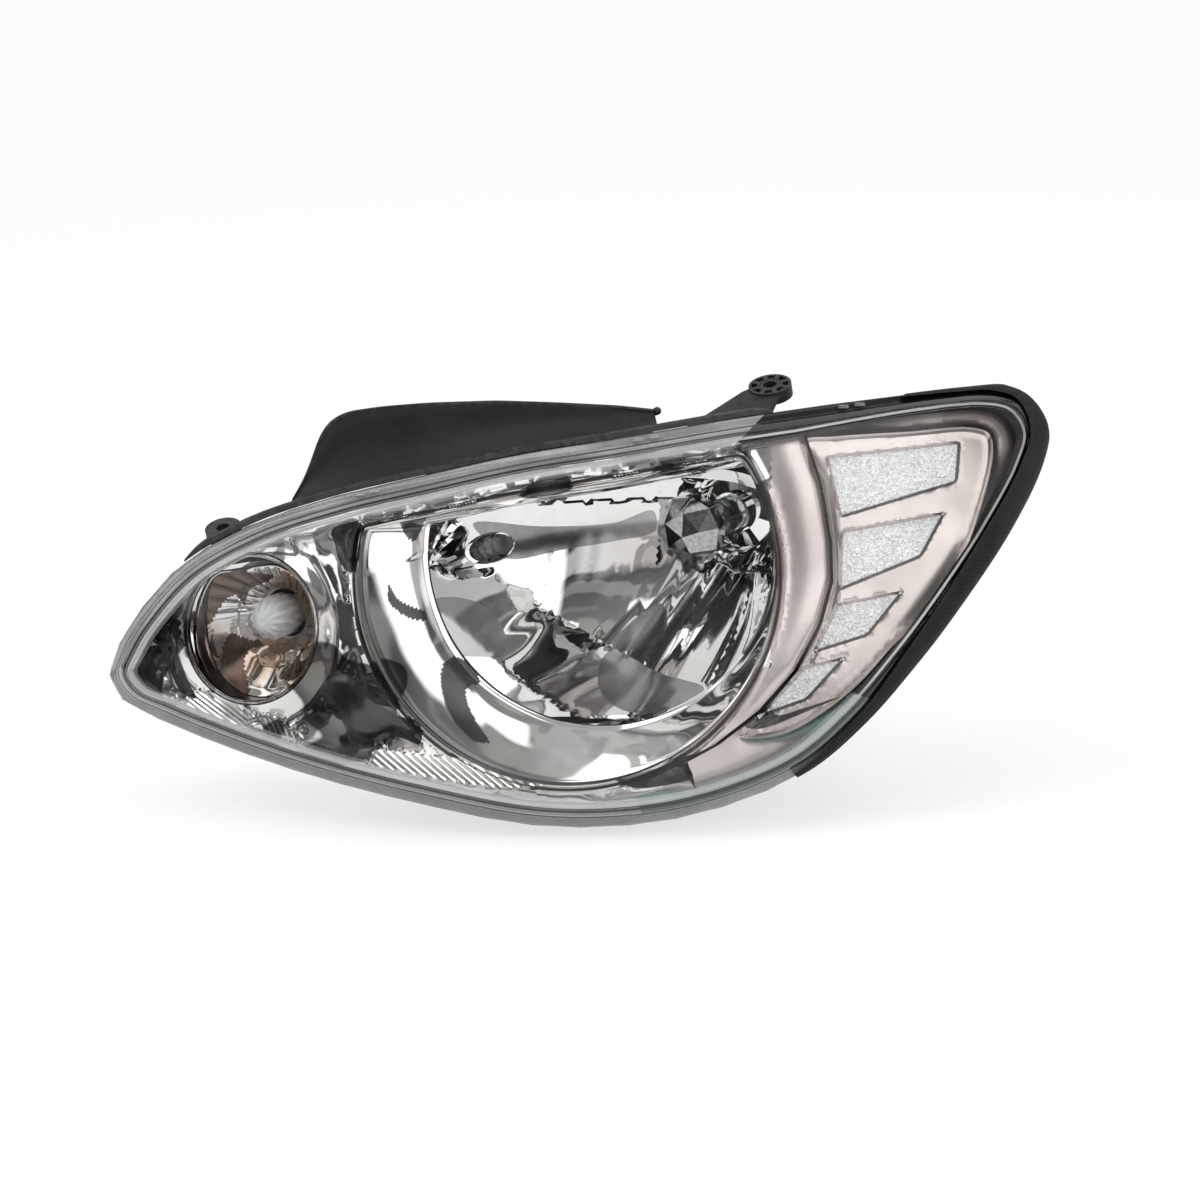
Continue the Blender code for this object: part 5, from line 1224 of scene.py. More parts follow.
def side_wall(edge, bowl, offsets, drop, depth, least_height, rows, pleat=0.0):
    """A thin wall from a bowl's edge forward to the given depth, with pleats."""
    out = unit(edge - bowl.centre)
    angle = np.arctan2(out[:, 1], out[:, 0])
    y_deep = bowl.y(edge[:, 0], edge[:, 1]) - drop
    y_front = np.minimum(y_on_face(edge[:, 0], edge[:, 1], depth), y_deep - least_height)
    sheets = []
    for offset in offsets:
        sheet = []
        for share in np.linspace(0, 1, rows):
            fold = pleat * np.sin(angle * 30) * sin(pi * share)
            flat = edge + out * (offset - fold)[:, None]
            sheet.append(stack(flat[:, 0], y_deep * (1 - share) + y_front * share, flat[:, 1]))
        sheets.append(sheet)
    return loft(sheets[0] + sheets[1][::-1], closed=True)


# ============================================================ main reflector's optics
FLUTE_WIDTH = 12.6
SHELL_CENTRE, SHELL_HALF, SHELL_GAP = (-22.0, -14.5), (85.0, 61.0), 1.2
LEG_DIRECTION = np.array([-0.5, -0.866])    # x, z from the bulb to the cap's foot
FOOT_RADIUS = 29.5
# across, up: the crease below which the bowl folds forward, and the saw-toothed upper step
FOLD = [(-72.0, 64.8), (-59.52, 52.32), (-52.32, 33.12), (-39.84, 20.16), (-23.52, 6.24),
        (-11.04, -5.28), (12.96, -19.68), (39.36, -33.6), (61.92, -38.88), (76.8, -40.8)]
STEP = [(-48.96, 54.72), (-40.32, 51.84), (-19.2, 50.88), (9.6, 51.36), (38.4, 52.32),
        (57.6, 53.28), (72.0, 54.24)]
# outlines of the shaded fields: across, up
FIELDS = [
    [(-52.8, 39.84), (-19.2, 38.4), (16.8, 40.32), (35.52, 46.08), (36.48, 36.48),
     (16.8, 31.2), (-7.2, 27.36), (-36.0, 22.56), (-44.64, 29.76)],
    [(-70.56, 3.36), (-60.0, 6.24), (-45.6, 2.4), (-37.44, -4.8), (-32.64, -12.96),
     (-32.64, -22.56), (-40.8, -22.56), (-55.2, -21.12), (-64.32, -12.96)],
    [(39.36, 0.48), (42.24, -9.6), (38.4, -17.28), (28.8, -21.6), (17.28, -22.08),
     (14.88, -19.2), (28.8, -5.28)],
    [(13.92, -22.56), (38.4, -33.6), (60.48, -40.8), (56.16, -44.64), (40.32, -51.36),
     (22.08, -48.48), (11.52, -36.96)],
]
# edge and holes of the bowl: x, z
BOWL_EDGE = trimmed_edge(
    superellipse(SHELL_CENTRE, [half - SHELL_GAP for half in SHELL_HALF], 2.8, 160),
    BOWL, clearance=3.5, depth=47.5, least=30.0)
POSITION_HOLE = circle((POSITION_X, POSITION_Z), 7.6, 28)
BULB_HOLE = circle(BOWL.centre, 21.5, 60)
FOOT_HOLE = circle(BOWL.centre + LEG_DIRECTION * 28.5, 6.6, 24)


def optics_height(x, z):
    """How far the optics stand out in front of the plain paraboloid, in mm."""
    view = face_view(x, BOWL.y(x, z), z)
    across, up = view[:, 0], view[:, 1]
    above_fold = side_of(view, FOLD)
    # vertical flutes, each a shallow hollow, with a kink between neighbours
    phase = (x - BOWL.x) / FLUTE_WIDTH
    phase = phase - np.floor(phase)
    flutes = 0.26 * (2 * phase - 1) ** 2 * smooth(np.hypot(x - BOWL.x, z - BOWL.z), 22, 30)
    saw = 2.4 * smooth(side_of(view, STEP) + 0.35 * (phase - 0.5) * 6, -0.2, 0.5)
    # small pillows where the bowl is steep on the right
    right = smooth(across, 84, 92)
    pillows = 0.17 * (np.cos(across * tau / 5.2) * np.cos(up * tau / 6.4))
    upper = (flutes + saw) * (1 - right) + right * (0.8 + pillows)
    # below the fold: a wavy floor on the left, fine pillows on the right
    below = -above_fold
    waves = (0.30 * np.sin(below * 0.24 + across * 0.07)
             + 0.16 * np.sin(up * 0.33 - across * 0.21)
             + 0.9 * np.abs(np.sin(across * 0.055 + below * 0.05)))
    waves = waves * smooth(below, 0, 5) * (1 - smooth(across, 18, 34))
    fine = 0.11 * (np.cos((across + up) * tau / 4.6) * np.cos((across - up) * tau / 5.4))
    lower = 0.42 * np.minimum(below, 30) + waves + fine * smooth(across, 20, 34) + 0.4
    return np.where(above_fold > 0, upper, lower)


def bowl_keep(points):
    return inside(points, BOWL_EDGE) & ~inside_any(points, (BULB_HOLE, POSITION_HOLE, FOOT_HOLE))


def clear_of(points, gap, *loops):
    """Which points are on the bowl and further than gap from the loops."""
    return bowl_keep(points) & np.all([distance(points, loop) > gap for loop in loops], axis=0)


def onto_bowl(line):
    """The x, z on the optics of points given across and up the face."""
    x, z = line[:, 0], line[:, 1]
    for _ in range(60):
        view = face_view(x, BOWL.y(x, z) - 3.0, z)
        x = x + (line[:, 0] - view[:, 0]) * 0.7
        z = z + (line[:, 1] - view[:, 1]) * 0.7
    return stack(x, z)


def build_reflector_optics():
    lines = []
    for k in range(-10, 9):
        z = np.arange(-80, 60, 1.8)
        points = stack(np.full(len(z), BOWL.x + k * FLUTE_WIDTH), z)
        view = face_view(points[:, 0], BOWL.y(points[:, 0], z), z)
        keep = clear_of(points, 1.2, BOWL_EDGE, BULB_HOLE, FOOT_HOLE)
        lines += kept_runs(points, keep & (side_of(view, FOLD) > 1.0), 4)
    fold = onto_bowl(densify(FOLD, 2.4, closed=False))
    lines.append(fold[clear_of(fold, 1.0, BOWL_EDGE, FOOT_HOLE)])
    fields = [onto_bowl(densify(closed_spline(control, 6), 2.2)) for control in FIELDS]
    for field in fields:
        ring = np.vstack([field, field[:1]])
        lines += kept_runs(ring, clear_of(ring, 1.0, BOWL_EDGE, FOOT_HOLE, BULB_HOLE), 3)
    flat, tris = triangulate([densify(BOWL_EDGE, 2.0), BULB_HOLE, POSITION_HOLE, FOOT_HOLE],
                             lines, bowl_keep, 2.1)
    x, z = flat[:, 0], flat[:, 1]
    # the relief fades out towards the edge and both bulbs
    height = optics_height(x, z) * np.clip(distance(flat, BOWL_EDGE) / 3.0, 0.15, 1)
    height *= 0.15 + 0.85 * smooth(np.hypot(x - BOWL.x, z - BOWL.z), 22, 30)
    height *= 0.1 + 0.9 * smooth(np.hypot(x - POSITION_X, z - POSITION_Z), 7.5, 14)
    y = BOWL.y(x, z)
    sheet = slab(stack(x, y - 2.1 - height, z), stack(x, y - 1.5 - 0.55 * height, z), tris)
    wall = side_wall(BOWL_EDGE, BOWL, offsets=(0.2, 0.75), drop=2.6, depth=47.0,
                     least_height=0.8, rows=9, pleat=0.25)
    dim = inside_any(flat[tris].mean(1), fields)
    kinds = ["mirror_shade" if shade else "mirror" for shade in dim] * 2
    kinds += ["mirror"] * (len(sheet[1]) + len(wall[1]) - len(kinds))
    painted_piece("reflector_optics", [sheet, wall], kinds, "reflector",
                  sharp=6.5)


# ============================================================ turn lamp
TURN_ROWS, TURN_FLUTES, TURN_HOLE_RADIUS = 22, 26, 12.8
# shaded sectors. least share of the way out, then for each side of the sector:
# angle, sway of it, waves of the sway and their phase
TURN_SHADES = [
    (0.30, (1.95, 0.22, 9, 0), (3.05, 0.25, 7, 1)),
    (0.22, (3.75, 0.2, 8, 0), (4.25, 0.25, 6, 2)),
    (0.35, (5.2, 0.3, 7, 0), (5.5, 0.2, 9, 0)),
]


def turn_finish(share, angle):
    def side(base, sway, waves, phase):
        return base + sway * sin(waves * share + phase)

    for least, start, end in TURN_SHADES:
        if share > least and side(*start) < angle < side(*end):
            return "turn_shade"
    return "mirror_amber"


def build_turn_bowl():
    edge = superellipse((-154.5, -18.5), (30.4, 35.9), 2.05, 120)
    edge[:, 1] = np.minimum(edge[:, 1], 8.0 + (edge[:, 0] + 153.0) * 0.20)
    edge = trimmed_edge(rounded_loop(edge, 3), TURN_BOWL, clearance=2.6, depth=21.8, least=15.0)
    out = edge - TURN_BOWL.centre
    turn = angles(TURN_FLUTES * 8)
    reach = np.interp(turn, np.arctan2(out[:, 1], out[:, 0]), norm(out, axis=1), period=tau)
    phase = turn * TURN_FLUTES / tau
    flutes = (2 * (phase - np.floor(phase)) - 1) ** 2
    sector = smooth(np.cos(turn - 1.75), -0.15, 0.3)    # the upper part is fluted
    front, back = [], []
    for share in np.linspace(0, 1, TURN_ROWS):
        radius = TURN_HOLE_RADIUS + (reach - TURN_HOLE_RADIUS) * share
        x = TURN_BOWL.x + radius * np.cos(turn)
        z = TURN_BOWL.z + radius * np.sin(turn)
        ledge = 0.0 if share < 0.45 else 0.5
        calm = (1 - sector) * (swirl(x, z, 26, 2.0) + 1.0)
        relief = (1.3 * flutes * sector + calm) * smooth(share, 0.05, 0.3) + ledge
        height = 0.7 + relief * (1 - 0.6 * smooth(share, 0.9, 1.0))
        front.append(stack(x, TURN_BOWL.y(x, z) - 1.5 - height, z))
        back.append(stack(x, TURN_BOWL.y(x, z) - 1.2, z))
    bowl = loft(front + back[::-1], closed=True)
    edge = stack(TURN_BOWL.x + reach * np.cos(turn), TURN_BOWL.z + reach * np.sin(turn))
    wall = side_wall(edge, TURN_BOWL, offsets=(0.35, 0.75), drop=2.4, depth=20.6,
                     least_height=0.5, rows=6)
    kinds = [turn_finish(i / (TURN_ROWS - 1), angle)
             for i in range(TURN_ROWS - 1) for angle in turn]
    kinds += ["mirror_amber"] * (len(bowl[1]) + len(wall[1]) - len(kinds))
    painted_piece("turn_bowl_optics", [bowl, wall], kinds, "housing",
                  sharp=14)


def build_turn_bulb():
    """Fluted glass with a domed tip towards the front."""
    neck, tip = TURN_BOWL.apex + 6.5, TURN_BOWL.apex - 27.0
    dome = tip + 12.4       # where the dome begins

    def ripple(turn, radius, along):
        fade = min(1.0, max(0.0, (neck - 6 - along) / 6)) * min(1.0, radius / 5)
        return 1 + 0.06 * np.cos(14 * turn) * fade

    quarter = np.linspace(0, pi / 2, 12)
    outside = [(6.4, neck), (6.4, neck - 3.0), (8.3, neck - 6.4), (10.0, neck - 10.0)]
    outside += [(10.2 * cos(t), dome - 12.4 * sin(t)) for t in quarter]
    within = [(8.9 * cos(t), dome - 11.2 * sin(t)) for t in quarter[::-1]]
    within += [(8.8, neck - 10.4), (5.4, neck - 3.4), (5.4, neck)]
    glass = lathe(outside + within, (TURN_BOWL.x, 0, TURN_BOWL.z), 84, ripple)
    piece("turn_bulb_envelope", [(*glass, "glass_bright")], "turn_lamp_bulb",
          "turn_bulb_glass")


# ============================================================ in front of the main bulb
CAP_Y = 80.0        # front of the faceted cap


def facet_cap():
    """A point, five corners, then rings of ten, so the front breaks into triangles."""
    def ring(radius, behind, count, start):
        turns = [tau * (k + start) / count for k in range(count)]
        return [(BOWL.x + radius * cos(t), CAP_Y + behind, BOWL.z + radius * sin(t))
                for t in turns]

    verts = [(BOWL.x + 2.2, CAP_Y + 0.3, BOWL.z - 1.0)] + ring(10.2, 3.2, 5, 0.15)
    # outer corners, end of the skirt, and back up its inside
    for radius, behind in ((17.4, 10.2), (17.4, 17.5), (16.2, 17.5), (16.2, 11.6)):
        verts += ring(radius, behind, 10, 0.3)
    verts.append((BOWL.x, CAP_Y + 4.0, BOWL.z))
    faces = []
    for k in range(5):
        here, after, outer = 1 + k, 1 + (k + 1) % 5, 6 + 2 * k
        faces += [(0, here, after), (here, outer, outer + 1), (here, outer + 1, after),
                  (after, outer + 1, 6 + (2 * k + 2) % 10)]
    for start in (6, 16, 26):
        for k in range(10):
            m = (k + 1) % 10
            faces.append((start + k, start + m, start + 10 + m, start + 10 + k))
    faces += [(36 + k, 36 + (k + 1) % 10, 46) for k in range(10)]
    return np.array(verts), faces


def build_bulb_cap():
    """The cap, its leg down to the bowl, and the ring of its foot."""
    foot_y = BOWL.y_at(FOOT_RADIUS) - 0.8
    top_y = foot_y - 2.2

    def on_leg(radius, y):
        return BOWL.x + LEG_DIRECTION[0] * radius, y, BOWL.z + LEG_DIRECTION[1] * radius

    path = bent_path([on_leg(16.9, CAP_Y + 13.0), on_leg(17.6, CAP_Y + 22),
                      on_leg(20.0, foot_y - 14), on_leg(25.2, foot_y - 3.8),
                      on_leg(27.2, top_y), on_leg(27.9, top_y)], 5)
    leg = strip(path, (LEG_DIRECTION[1], 0, -LEG_DIRECTION[0]), width=8.0, thick=1.2)
    profile = [(1.95, -0.6), (5.0, -0.6), (5.4, -0.2), (5.4, 0.4), (5.0, 0.7), (1.95, 0.7)]
    foot = lathe(profile, on_leg(30.6, top_y - 1.2), 24)
    piece("bulb_cap_faceted", [(*part, "mirror_dark") for part in (facet_cap(), leg, foot)],
          "reflector", "bulb_shield", sharp=3)


def build_bulb_bands():
    """Two dark bands round the bulb."""
    bands = []
    for y in (117.0, 124.0):
        profile = [(8.65, y), (8.95, y + 0.2), (8.95, y + 1.1), (8.65, y + 1.3)]
        bands.append((*lathe(profile, (BOWL.x, 0, BOWL.z), 48), "dark"))
    piece("bulb_bands", bands, "reflector")


# ============================================================ rubber strip round the right end
GASKET_BASE = 3.3
# offset from the rim, depth, whether ribbed
GASKET_PROFILE = [
    (GASKET_BASE, 31.0, 0), (5.5, 30.0, 0), (5.9, 24.0, 1), (5.9, 16.0, 1), (5.6, 10.0, 1),
    (4.9, 6.4, 1), (3.4, 3.9, 1), (1.4, 2.2, 1), (-0.8, 0.9, 1), (-3.0, -0.1, 0),
    (-5.2, -0.5, 0), (-5.8, 0.2, 0), (-3.8, 2.3, 0), (-2.4, 4.1, 0), (-1.6, 6.2, 0),
    (-0.9, 9.6, 0), (0.0, 12.4, 0), (2.9, 12.6, 0), (GASKET_BASE, 14.0, 0),
]


def build_gasket():
    keep = ~((RIM[:, 0] < 150) & (RIM[:, 1] > 20)) & ~(RIM[:, 0] < 98)
    first = next(j for j in range(len(RIM)) if keep[j] and not keep[j - 1])
    run = [(first + k) % len(RIM) for k in range(int(keep.sum()))]
    # places along the run, in rim steps, about 0.75 mm apart
    fine = []
    for i, (start, end) in enumerate(zip(run, run[1:])):
        parts = max(2, int(norm(RIM[end] - RIM[start]) / 0.75))
        fine += [i + t / parts for t in range(parts)]
    fine = np.array(fine)
    rib = np.where(np.arange(len(fine)) % 3 == 0, 0.45, 0.0)
    # full at the corner, running out to thin lips at both ends
    full = np.interp(fine / (len(run) - 1), (0.0, 0.2, 0.3, 0.5, 0.7, 0.85, 1.0),
                     (0.15, 0.35, 0.85, 1.0, 0.8, 0.5, 0.2))
    rise = np.clip(full * 1.1, 0, 1)

    def along_run(offset):
        edge = offset_rim(offset)[run]
        places = np.arange(len(run))
        return stack(np.interp(fine, places, edge[:, 0]), np.interp(fine, places, edge[:, 1]))

    base = along_run(GASKET_BASE)
    rows = []
    for offset, depth, ribbed in GASKET_PROFILE:
        flat = base + (along_run(offset) - base) * full[:, None]
        if depth < 12:
            back = 12.4 if offset < GASKET_BASE else 14.0
            depth = back - (back - depth) * rise
        rows.append(on_face(flat, depth - rib * ribbed * rise))
    verts, faces = loft(list(np.stack(rows, axis=1)))
    piece("edge_rubber", [(eased(verts), faces, "rubber")], "housing",
          "edge_gasket", sharp=40)


# ============================================================ curved panel above the cover
# across, up
PANEL_TOP = np.array([
    (-139.5, 52.0), (-136.5, 56.5), (-133.0, 63.0), (-129.5, 72.0), (-126.0, 82.0),
    (-121.5, 89.0), (-113.5, 93.6), (-96.6, 96.0), (-74, 97.8), (-40, 98.8), (-10.6, 97.8),
    (19.2, 96.3), (36.0, 94.5)])


def build_panel():
    along = np.r_[0, np.cumsum(norm(np.diff(PANEL_TOP, axis=0), axis=1))]
    want = np.linspace(0, along[-1], 120)
    tops = stack(np.interp(want, along, PANEL_TOP[:, 0]), np.interp(want, along, PANEL_TOP[:, 1]))
    for _ in range(10):
        tops[1:-1] = (tops[:-2] + 2 * tops[1:-1] + tops[2:]) / 4
    across = np.linspace(-141.0, 38.0, len(tops))
    lows = stack(across, upper_height(across, 4.4))
    share = np.linspace(0, 1, 16)
    rise = 9.0 * np.sin(share * pi / 2) - 2.0 * share ** 2 - 0.48 * hump(share, 0.93, 0.03)
    rows = []
    for low, top in zip(lows, tops):
        start = crown(*low) + 24.0
        flat = low * (1 - share)[:, None] + top * share[:, None]
        front = stack(flat[:, 0], start + rise, flat[:, 1])
        x, z = top + unit(top - low) * 0.5
        lip = [(x, start + 7.6, z), (x, start + 8.6, z)]
        rows.append(from_face(np.vstack([front, lip, (front + (0, 2.2, 0))[::-1]])))
    nub_at = on_face([[37.4, 94.0]], 31.5)[0]
    nub = lathe([(0, -2.6), (1.2, -2.6), (1.9, -1.8), (2.0, 0.8), (1.4, 2.0), (0, 2.2)],
                nub_at, 20)
    piece("upper_panel", [(*loft(rows), "panel"), (*nub, "panel")], "housing",
          "top_deflector", sharp=45)


# ============================================================ small moulded detail
def build_ledge():
    """Ledge of the housing that shows above the cover, thinner at both ends."""
    count, base, width = 150, 3.3, 3.5
    # offset from base as a share of the width, depth
    profile = [(0, 16.6), (0.7, 16.6), (1, 18.1), (1, 23.5), (0, 23.5)]
    rows = []
    for i, across in enumerate(np.linspace(-192.0, 94.0, count)):
        end = min(1.0, i / 6.0, (count - 1 - i) / 6.0)
        grown = width * (0.25 + 0.75 * sin(end * pi / 2))
        flat = [(across, upper_height(across, base + share * grown, left_above=-12))
                for share, _depth in profile]
        rows.append(on_face(flat, np.array([depth for _share, depth in profile])))
    piece("housing_ledge", [(*loft(rows), "housing")], "housing", sharp=40)


def build_cover_tabs():
    """Pairs of small blocks on the upper flange of the cover."""
    tabs = []
    for across, depth in ((-106.0, 10.5), (-99.0, 10.5), (28.0, 11.0), (36.0, 11.0),
                          (128.0, 10.5), (136.0, 10.5)):
        up = upper_height(across, 0.6)
        behind = crown(across, up) + depth
        verts, faces = block((across - 2.6, behind - 2.4, up - 0.7),
                             (across + 2.6, behind + 3.6, up + 1.2), 0.5)
        tabs.append((from_face(verts), faces, "lens_edge"))
    piece("cover_tabs", tabs, "housing")


def cut_ear_pockets():
    """Eight pockets in a ring, cut into the upper right ear of the housing."""
    centre = on_face([[93.0, 104.5]], 34.0)[0]
    tilt = radians(16)
    ear_x = np.array([1.0, 0, 0])
    ear_y = np.array([0, cos(tilt), sin(tilt)])
    ear_axis = np.array([0.0, -sin(tilt), cos(tilt)])
    inner, outer, half_angle = 6.3, 9.4, 0.27
    bottom, top = 0.6, 6.0
    pockets = []
    for k in range(8):
        middle = tau * (k + 0.5) / 8
        corners = []
        for radius, turn in ((inner, 0.8), (outer, 1), (outer, -1), (inner, -0.8)):
            angle = middle + turn * half_angle
            corners.append((radius * cos(angle), radius * sin(angle)))
        flat = rounded_corners(corners, 0.5)
        pockets.append(loft([np.array([centre + ear_x * x + ear_y * y + ear_axis * level
                                       for x, y in flat]) for level in (bottom, top)]))
    verts, faces = joined(*pockets)
    mesh = bpy.data.meshes.new("ear_pockets_cut")
    mesh.from_pydata(metres(verts).tolist(), [], faces)
    turn_outwards(mesh)
    cutter = link_object("ear_pockets_cut", mesh)
    cutter.hide_render = True
    cutter.hide_viewport = True
    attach(cutter, "housing")
    modifier = NODES["rear_housing"].modifiers.new("pockets", "BOOLEAN")
    modifier.operation = "DIFFERENCE"
    modifier.object = cutter
    modifier.solver = "EXACT"


def build_housing_ribs():
    """Three upright and two level ribs on the back of the housing."""
    half = 0.9
    ribs = [block((x - half, BACK_Y - 1.0, -52.0), (x + half, BACK_Y + 2.2, 16.0), 0.5)
            for x in (-58.0, -40.0, 50.0)]
    ribs += [block((-58.0, BACK_Y - 1.0, z - half), (-31.0, BACK_Y + 2.0, z + half), 0.5)
             for z in (-50.5, -40.0)]
    piece("housing_ribs", [(*rib, "housing") for rib in ribs], "housing")


def build_cap_knurls():
    """Small ridges round the access cap."""
    count, radius = 36, 39.3
    knurls = []
    for k in range(count):
        t = tau * k / count
        out = np.array([cos(t), 0, sin(t)])
        side = np.array([-sin(t), 0, cos(t)])
        rings = []
        # y, half width, height
        for y, half, height in ((176.0, 0.6, 0.1), (177.0, 1.0, 0.9), (184.0, 1.0, 0.9),
                                (185.2, 0.6, 0.1)):
            base = np.array([BOWL.x, y, BOWL.z]) + out * radius
            rings.append(np.array([
                base - side * half - out * 0.4, base + side * half - out * 0.4,
                base + side * half * 0.5 + out * height,
                base - side * half * 0.5 + out * height]))
        knurls.append((*loft(rings), "black"))
    piece("cap_knurls", knurls, "cap")


# ============================================================ CAD pieces that stay
FINISHES = {
    "housing": "rear_housing",
    "sealant": "lens_sealant",
    "mirror": "main_reflector main_bulb_base turn_reflector",
    "nylon": "pivot_socket aim_socket level_socket aim_stud level_shaft aim_wheel level_wheel",
    "steel": "pivot_stud low_beam_cup bulb_clip shield_rivet bezel_screw_1 bezel_screw_2",
    "grey": "level_motor position_socket",
    "rubber": "motor_seal turn_socket_seal access_cap_seal vent_elbow_1 vent_elbow_2",
    "glass": "main_bulb_glass",
    "glass_thick": "position_bulb",
    "tungsten": "high_beam_filament low_beam_filament turn_filament",
    "brass": "bulb_terminal_1 bulb_terminal_2 bulb_terminal_3 turn_bulb_base "
             "connector_pin_1 connector_pin_2 connector_pin_3 connector_pin_4",
    "black": "bulb_plug turn_socket access_cap harness_connector",
    "wire": "bulb_lead_1 bulb_lead_2 bulb_lead_3",
    "dark": "ear_sleeve",
}
BEVEL_WIDTHS = {        # mm
    "level_motor": 0.5, "bulb_plug": 0.4, "harness_connector": 0.35, "access_cap": 0.6,
    "turn_socket": 0.4, "position_socket": 0.3, "aim_wheel": 0.3, "level_wheel": 0.3,
    "main_bulb_base": 0.2, "bulb_terminal_1": 0.12, "bulb_terminal_2": 0.12,
    "bulb_terminal_3": 0.12,
}


def finish_cad_pieces():
    for kind, names in FINISHES.items():
        for name in names.split():
            materials = NODES[name].data.materials
            materials.clear()
            materials.append(MATERIALS[kind])
    for name, width in BEVEL_WIDTHS.items():
        bevel = NODES[name].modifiers.new("edges", "BEVEL")
        bevel.width = width * 0.001
        bevel.segments = 2
        bevel.limit_method = "ANGLE"
        bevel.angle_limit = radians(40)


# ============================================================ floor, surroundings, lights (m)
FLOOR_RADIUS = 3.2


def build_floor():
    """A paper disc just below the lamp that glows white towards its edge."""
    count = 96
    mesh = bpy.data.meshes.new("floor")
    verts = [(0, 0, 0)] + [(FLOOR_RADIUS * cos(t), FLOOR_RADIUS * sin(t), 0)
                           for t in angles(count)]
    mesh.from_pydata(verts, [], [(0, 1 + k, 1 + (k + 1) % count) for k in range(count)])
    floor = link_object("floor", mesh)
    floor.location = (0, 0, START[0].z - 0.0004)
    material, g = new_material("floor_paper")
    paper = g.new("ShaderNodeBsdfDiffuse", in_Color=(0.86, 0.86, 0.86, 1))
    glow = g.new("ShaderNodeEmission", in_Color=(0.97, 0.97, 0.97, 1), in_Strength=1.0)
    radius = g.new("ShaderNodeVectorMath", operation="LENGTH", in_0=g.coord())
    share = g.calc("DIVIDE", radius.outputs["Value"], FLOOR_RADIUS)
    far = g.ramp(share, [(0.10, 0.74), (0.5, 1)])
    g.put(g.out.inputs[0], g.mix_shader(far, paper.outputs[0], glow.outputs[0]))
    mesh.materials.append(material)


# soft boxes: azimuth from, to, elevation from, to, softness (degrees), colour, strength
SOFT_BOXES = [
    (-80, -60, -6, 48, 2.0, (1.0, 0.99, 0.98), 1.4),
    (-53, -36, 4, 64, 1.6, (1.0, 0.99, 0.98), 1.5),
    (-20, -8, 14, 78, 2, (1.0, 1.0, 1.0), 1.3),
    (66, 98, 4, 62, 3, (1.0, 0.985, 0.975), 1.5),
    (14, 62, -10, 30, 6, (0.98, 0.91, 0.89), 0.36),
    (104, 132, -6, 44, 4, (0.93, 0.86, 0.84), 0.75),
    (6, 40, 46, 82, 3, (1.0, 1.0, 1.0), 1.6),
    (-128, -92, 4, 50, 4, (0.86, 0.90, 0.88), 0.8),
    (10, 44, -40, -18, 4, (0.95, 0.94, 0.92), 0.7),
    (140, 178, 10, 60, 4, (1.0, 1.0, 1.0), 0.9),
    (-178, -142, 20, 70, 4, (1.0, 1.0, 1.0), 0.9),
]


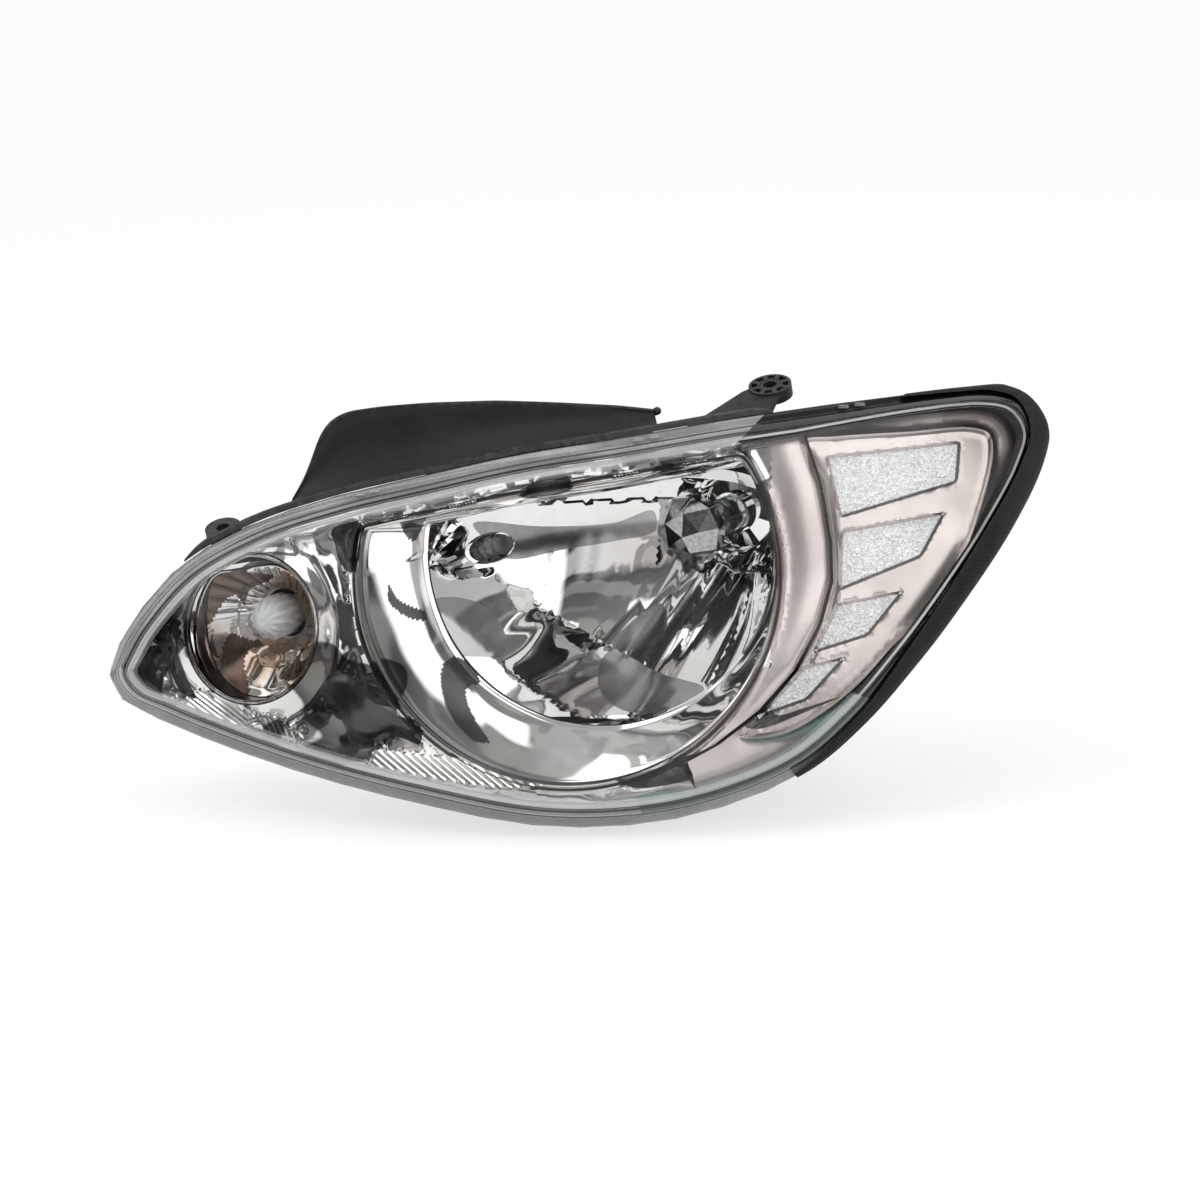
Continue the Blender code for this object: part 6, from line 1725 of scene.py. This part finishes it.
def build_world():
    """Plain white to the camera; to everything else a dark room with soft boxes."""
    world = bpy.data.worlds.new("studio")
    bpy.context.scene.world = world
    g = Graph(world)
    out = g.new("ShaderNodeOutputWorld")
    direction = g.new("ShaderNodeTexCoord").outputs["Generated"]
    x, y, z = g.new("ShaderNodeSeparateXYZ", in_0=direction).outputs
    heading = g.calc("ARCTAN2", x, g.calc("MULTIPLY", y, -1.0))
    azimuth = g.calc("MULTIPLY", heading, 180 / pi)
    elevation = g.calc("MULTIPLY", g.calc("ARCSINE", z), 180 / pi)

    def window(value, low, high, soft):
        rise = g.calc("DIVIDE", g.calc("SUBTRACT", value, low), soft, clamp=True)
        fall = g.calc("DIVIDE", g.calc("SUBTRACT", high, value), soft, clamp=True)
        return g.calc("MULTIPLY", rise, fall)

    def add(first, second):
        return g.new("ShaderNodeVectorMath", operation="ADD", in_0=first,
                     in_1=second).outputs[0]

    total = None
    for left, right, bottom, top, soft, colour, strength in SOFT_BOXES:
        mask = g.calc("MULTIPLY", window(azimuth, left, right, soft),
                      window(elevation, bottom, top, soft))
        mask = g.calc("MULTIPLY", mask, strength)
        box = g.new("ShaderNodeVectorMath", operation="SCALE", in_0=colour,
                    in_Scale=mask).outputs[0]
        total = box if total is None else add(total, box)
    cloud = g.noise(1.9, 2.0, 0.5, vector=direction, distort=0.8)
    patches = g.ramp(cloud, [(0.40, 0.0), (0.43, (0.17, 0.16, 0.155)),
                             (0.51, (0.20, 0.19, 0.185)), (0.53, 0.02), (0.63, 0.0),
                             (0.66, 0.5)])
    height = g.calc("DIVIDE", g.calc("ADD", elevation, 90.0), 180.0)
    base = g.ramp(height, [(0.30, 0.5), (0.45, 0.07), (0.62, (0.03, 0.03, 0.032)),
                           (0.95, 0.4)])
    room = g.new("ShaderNodeBackground", in_0=add(add(total, base), patches), in_1=1.0)
    plain = g.new("ShaderNodeBackground", in_0=(0.97, 0.97, 0.97, 1), in_1=1.0)
    path = g.new("ShaderNodeLightPath")
    g.put(out.inputs[0], g.mix_shader(path.outputs["Is Camera Ray"], room.outputs[0],
                                      plain.outputs[0]))


# name, place, size, power in watts; all aim at the origin
LAMPS = [
    ("key", (-0.9, -1.4, 1.3), (1.0, 1.0), 22),
    ("fill", (1.6, -0.8, 0.9), (1.2, 1.2), 16),
    ("top", (0.1, 0.2, 1.8), (1.6, 1.6), 12),
    ("back", (-0.4, 1.7, 0.9), (1.4, 1.0), 9),
]


def build_lamps():
    for name, place, size, power in LAMPS:
        light = bpy.data.lights.new(name, "AREA")
        light.shape = "RECTANGLE"
        light.size, light.size_y = size
        light.energy = power
        ob = link_object(name, light)
        ob.location = place
        aim = Vector((0, 0, 0)) - Vector(place)
        ob.rotation_euler = aim.to_track_quat("-Z", "Y").to_euler()
        ob.visible_glossy = False
        ob.visible_camera = False


def build_camera():
    """A long lens looking squarely at the face, with a slight roll."""
    view_width, margin, roll = 0.576, 1.003, radians(-0.15)
    data = bpy.data.cameras.new("camera")
    data.sensor_width = 36.0
    data.lens = 300.0
    camera = link_object("camera", data)
    towards = Vector((sin(SWEEP) * cos(RAKE), -cos(SWEEP) * cos(RAKE), sin(RAKE)))
    target = Vector(metres(on_face([[9.6, 2.4]], 15.0))[0])
    camera.location = target + towards * (view_width * data.lens / data.sensor_width * margin)
    aim = (-towards).to_track_quat("-Z", "Y")
    camera.rotation_euler = (aim @ Quaternion((0, 0, 1), roll)).to_euler()
    bpy.context.scene.camera = camera


def set_render():
    scene = bpy.context.scene
    scene.view_settings.view_transform = "Standard"
    scene.view_settings.look = "None"
    scene.cycles.transparent_max_bounces = 32
    scene.cycles.max_bounces = 16


build_cover()
build_cover_ribs()
build_bezel()
build_garnish()
build_reflector_optics()
build_turn_bowl()
build_turn_bulb()
build_bulb_cap()
build_bulb_bands()
build_gasket()
build_panel()
build_ledge()
build_cover_tabs()
cut_ear_pockets()
build_housing_ribs()
build_cap_knurls()
finish_cad_pieces()
build_floor()
build_world()
build_lamps()
build_camera()
set_render()
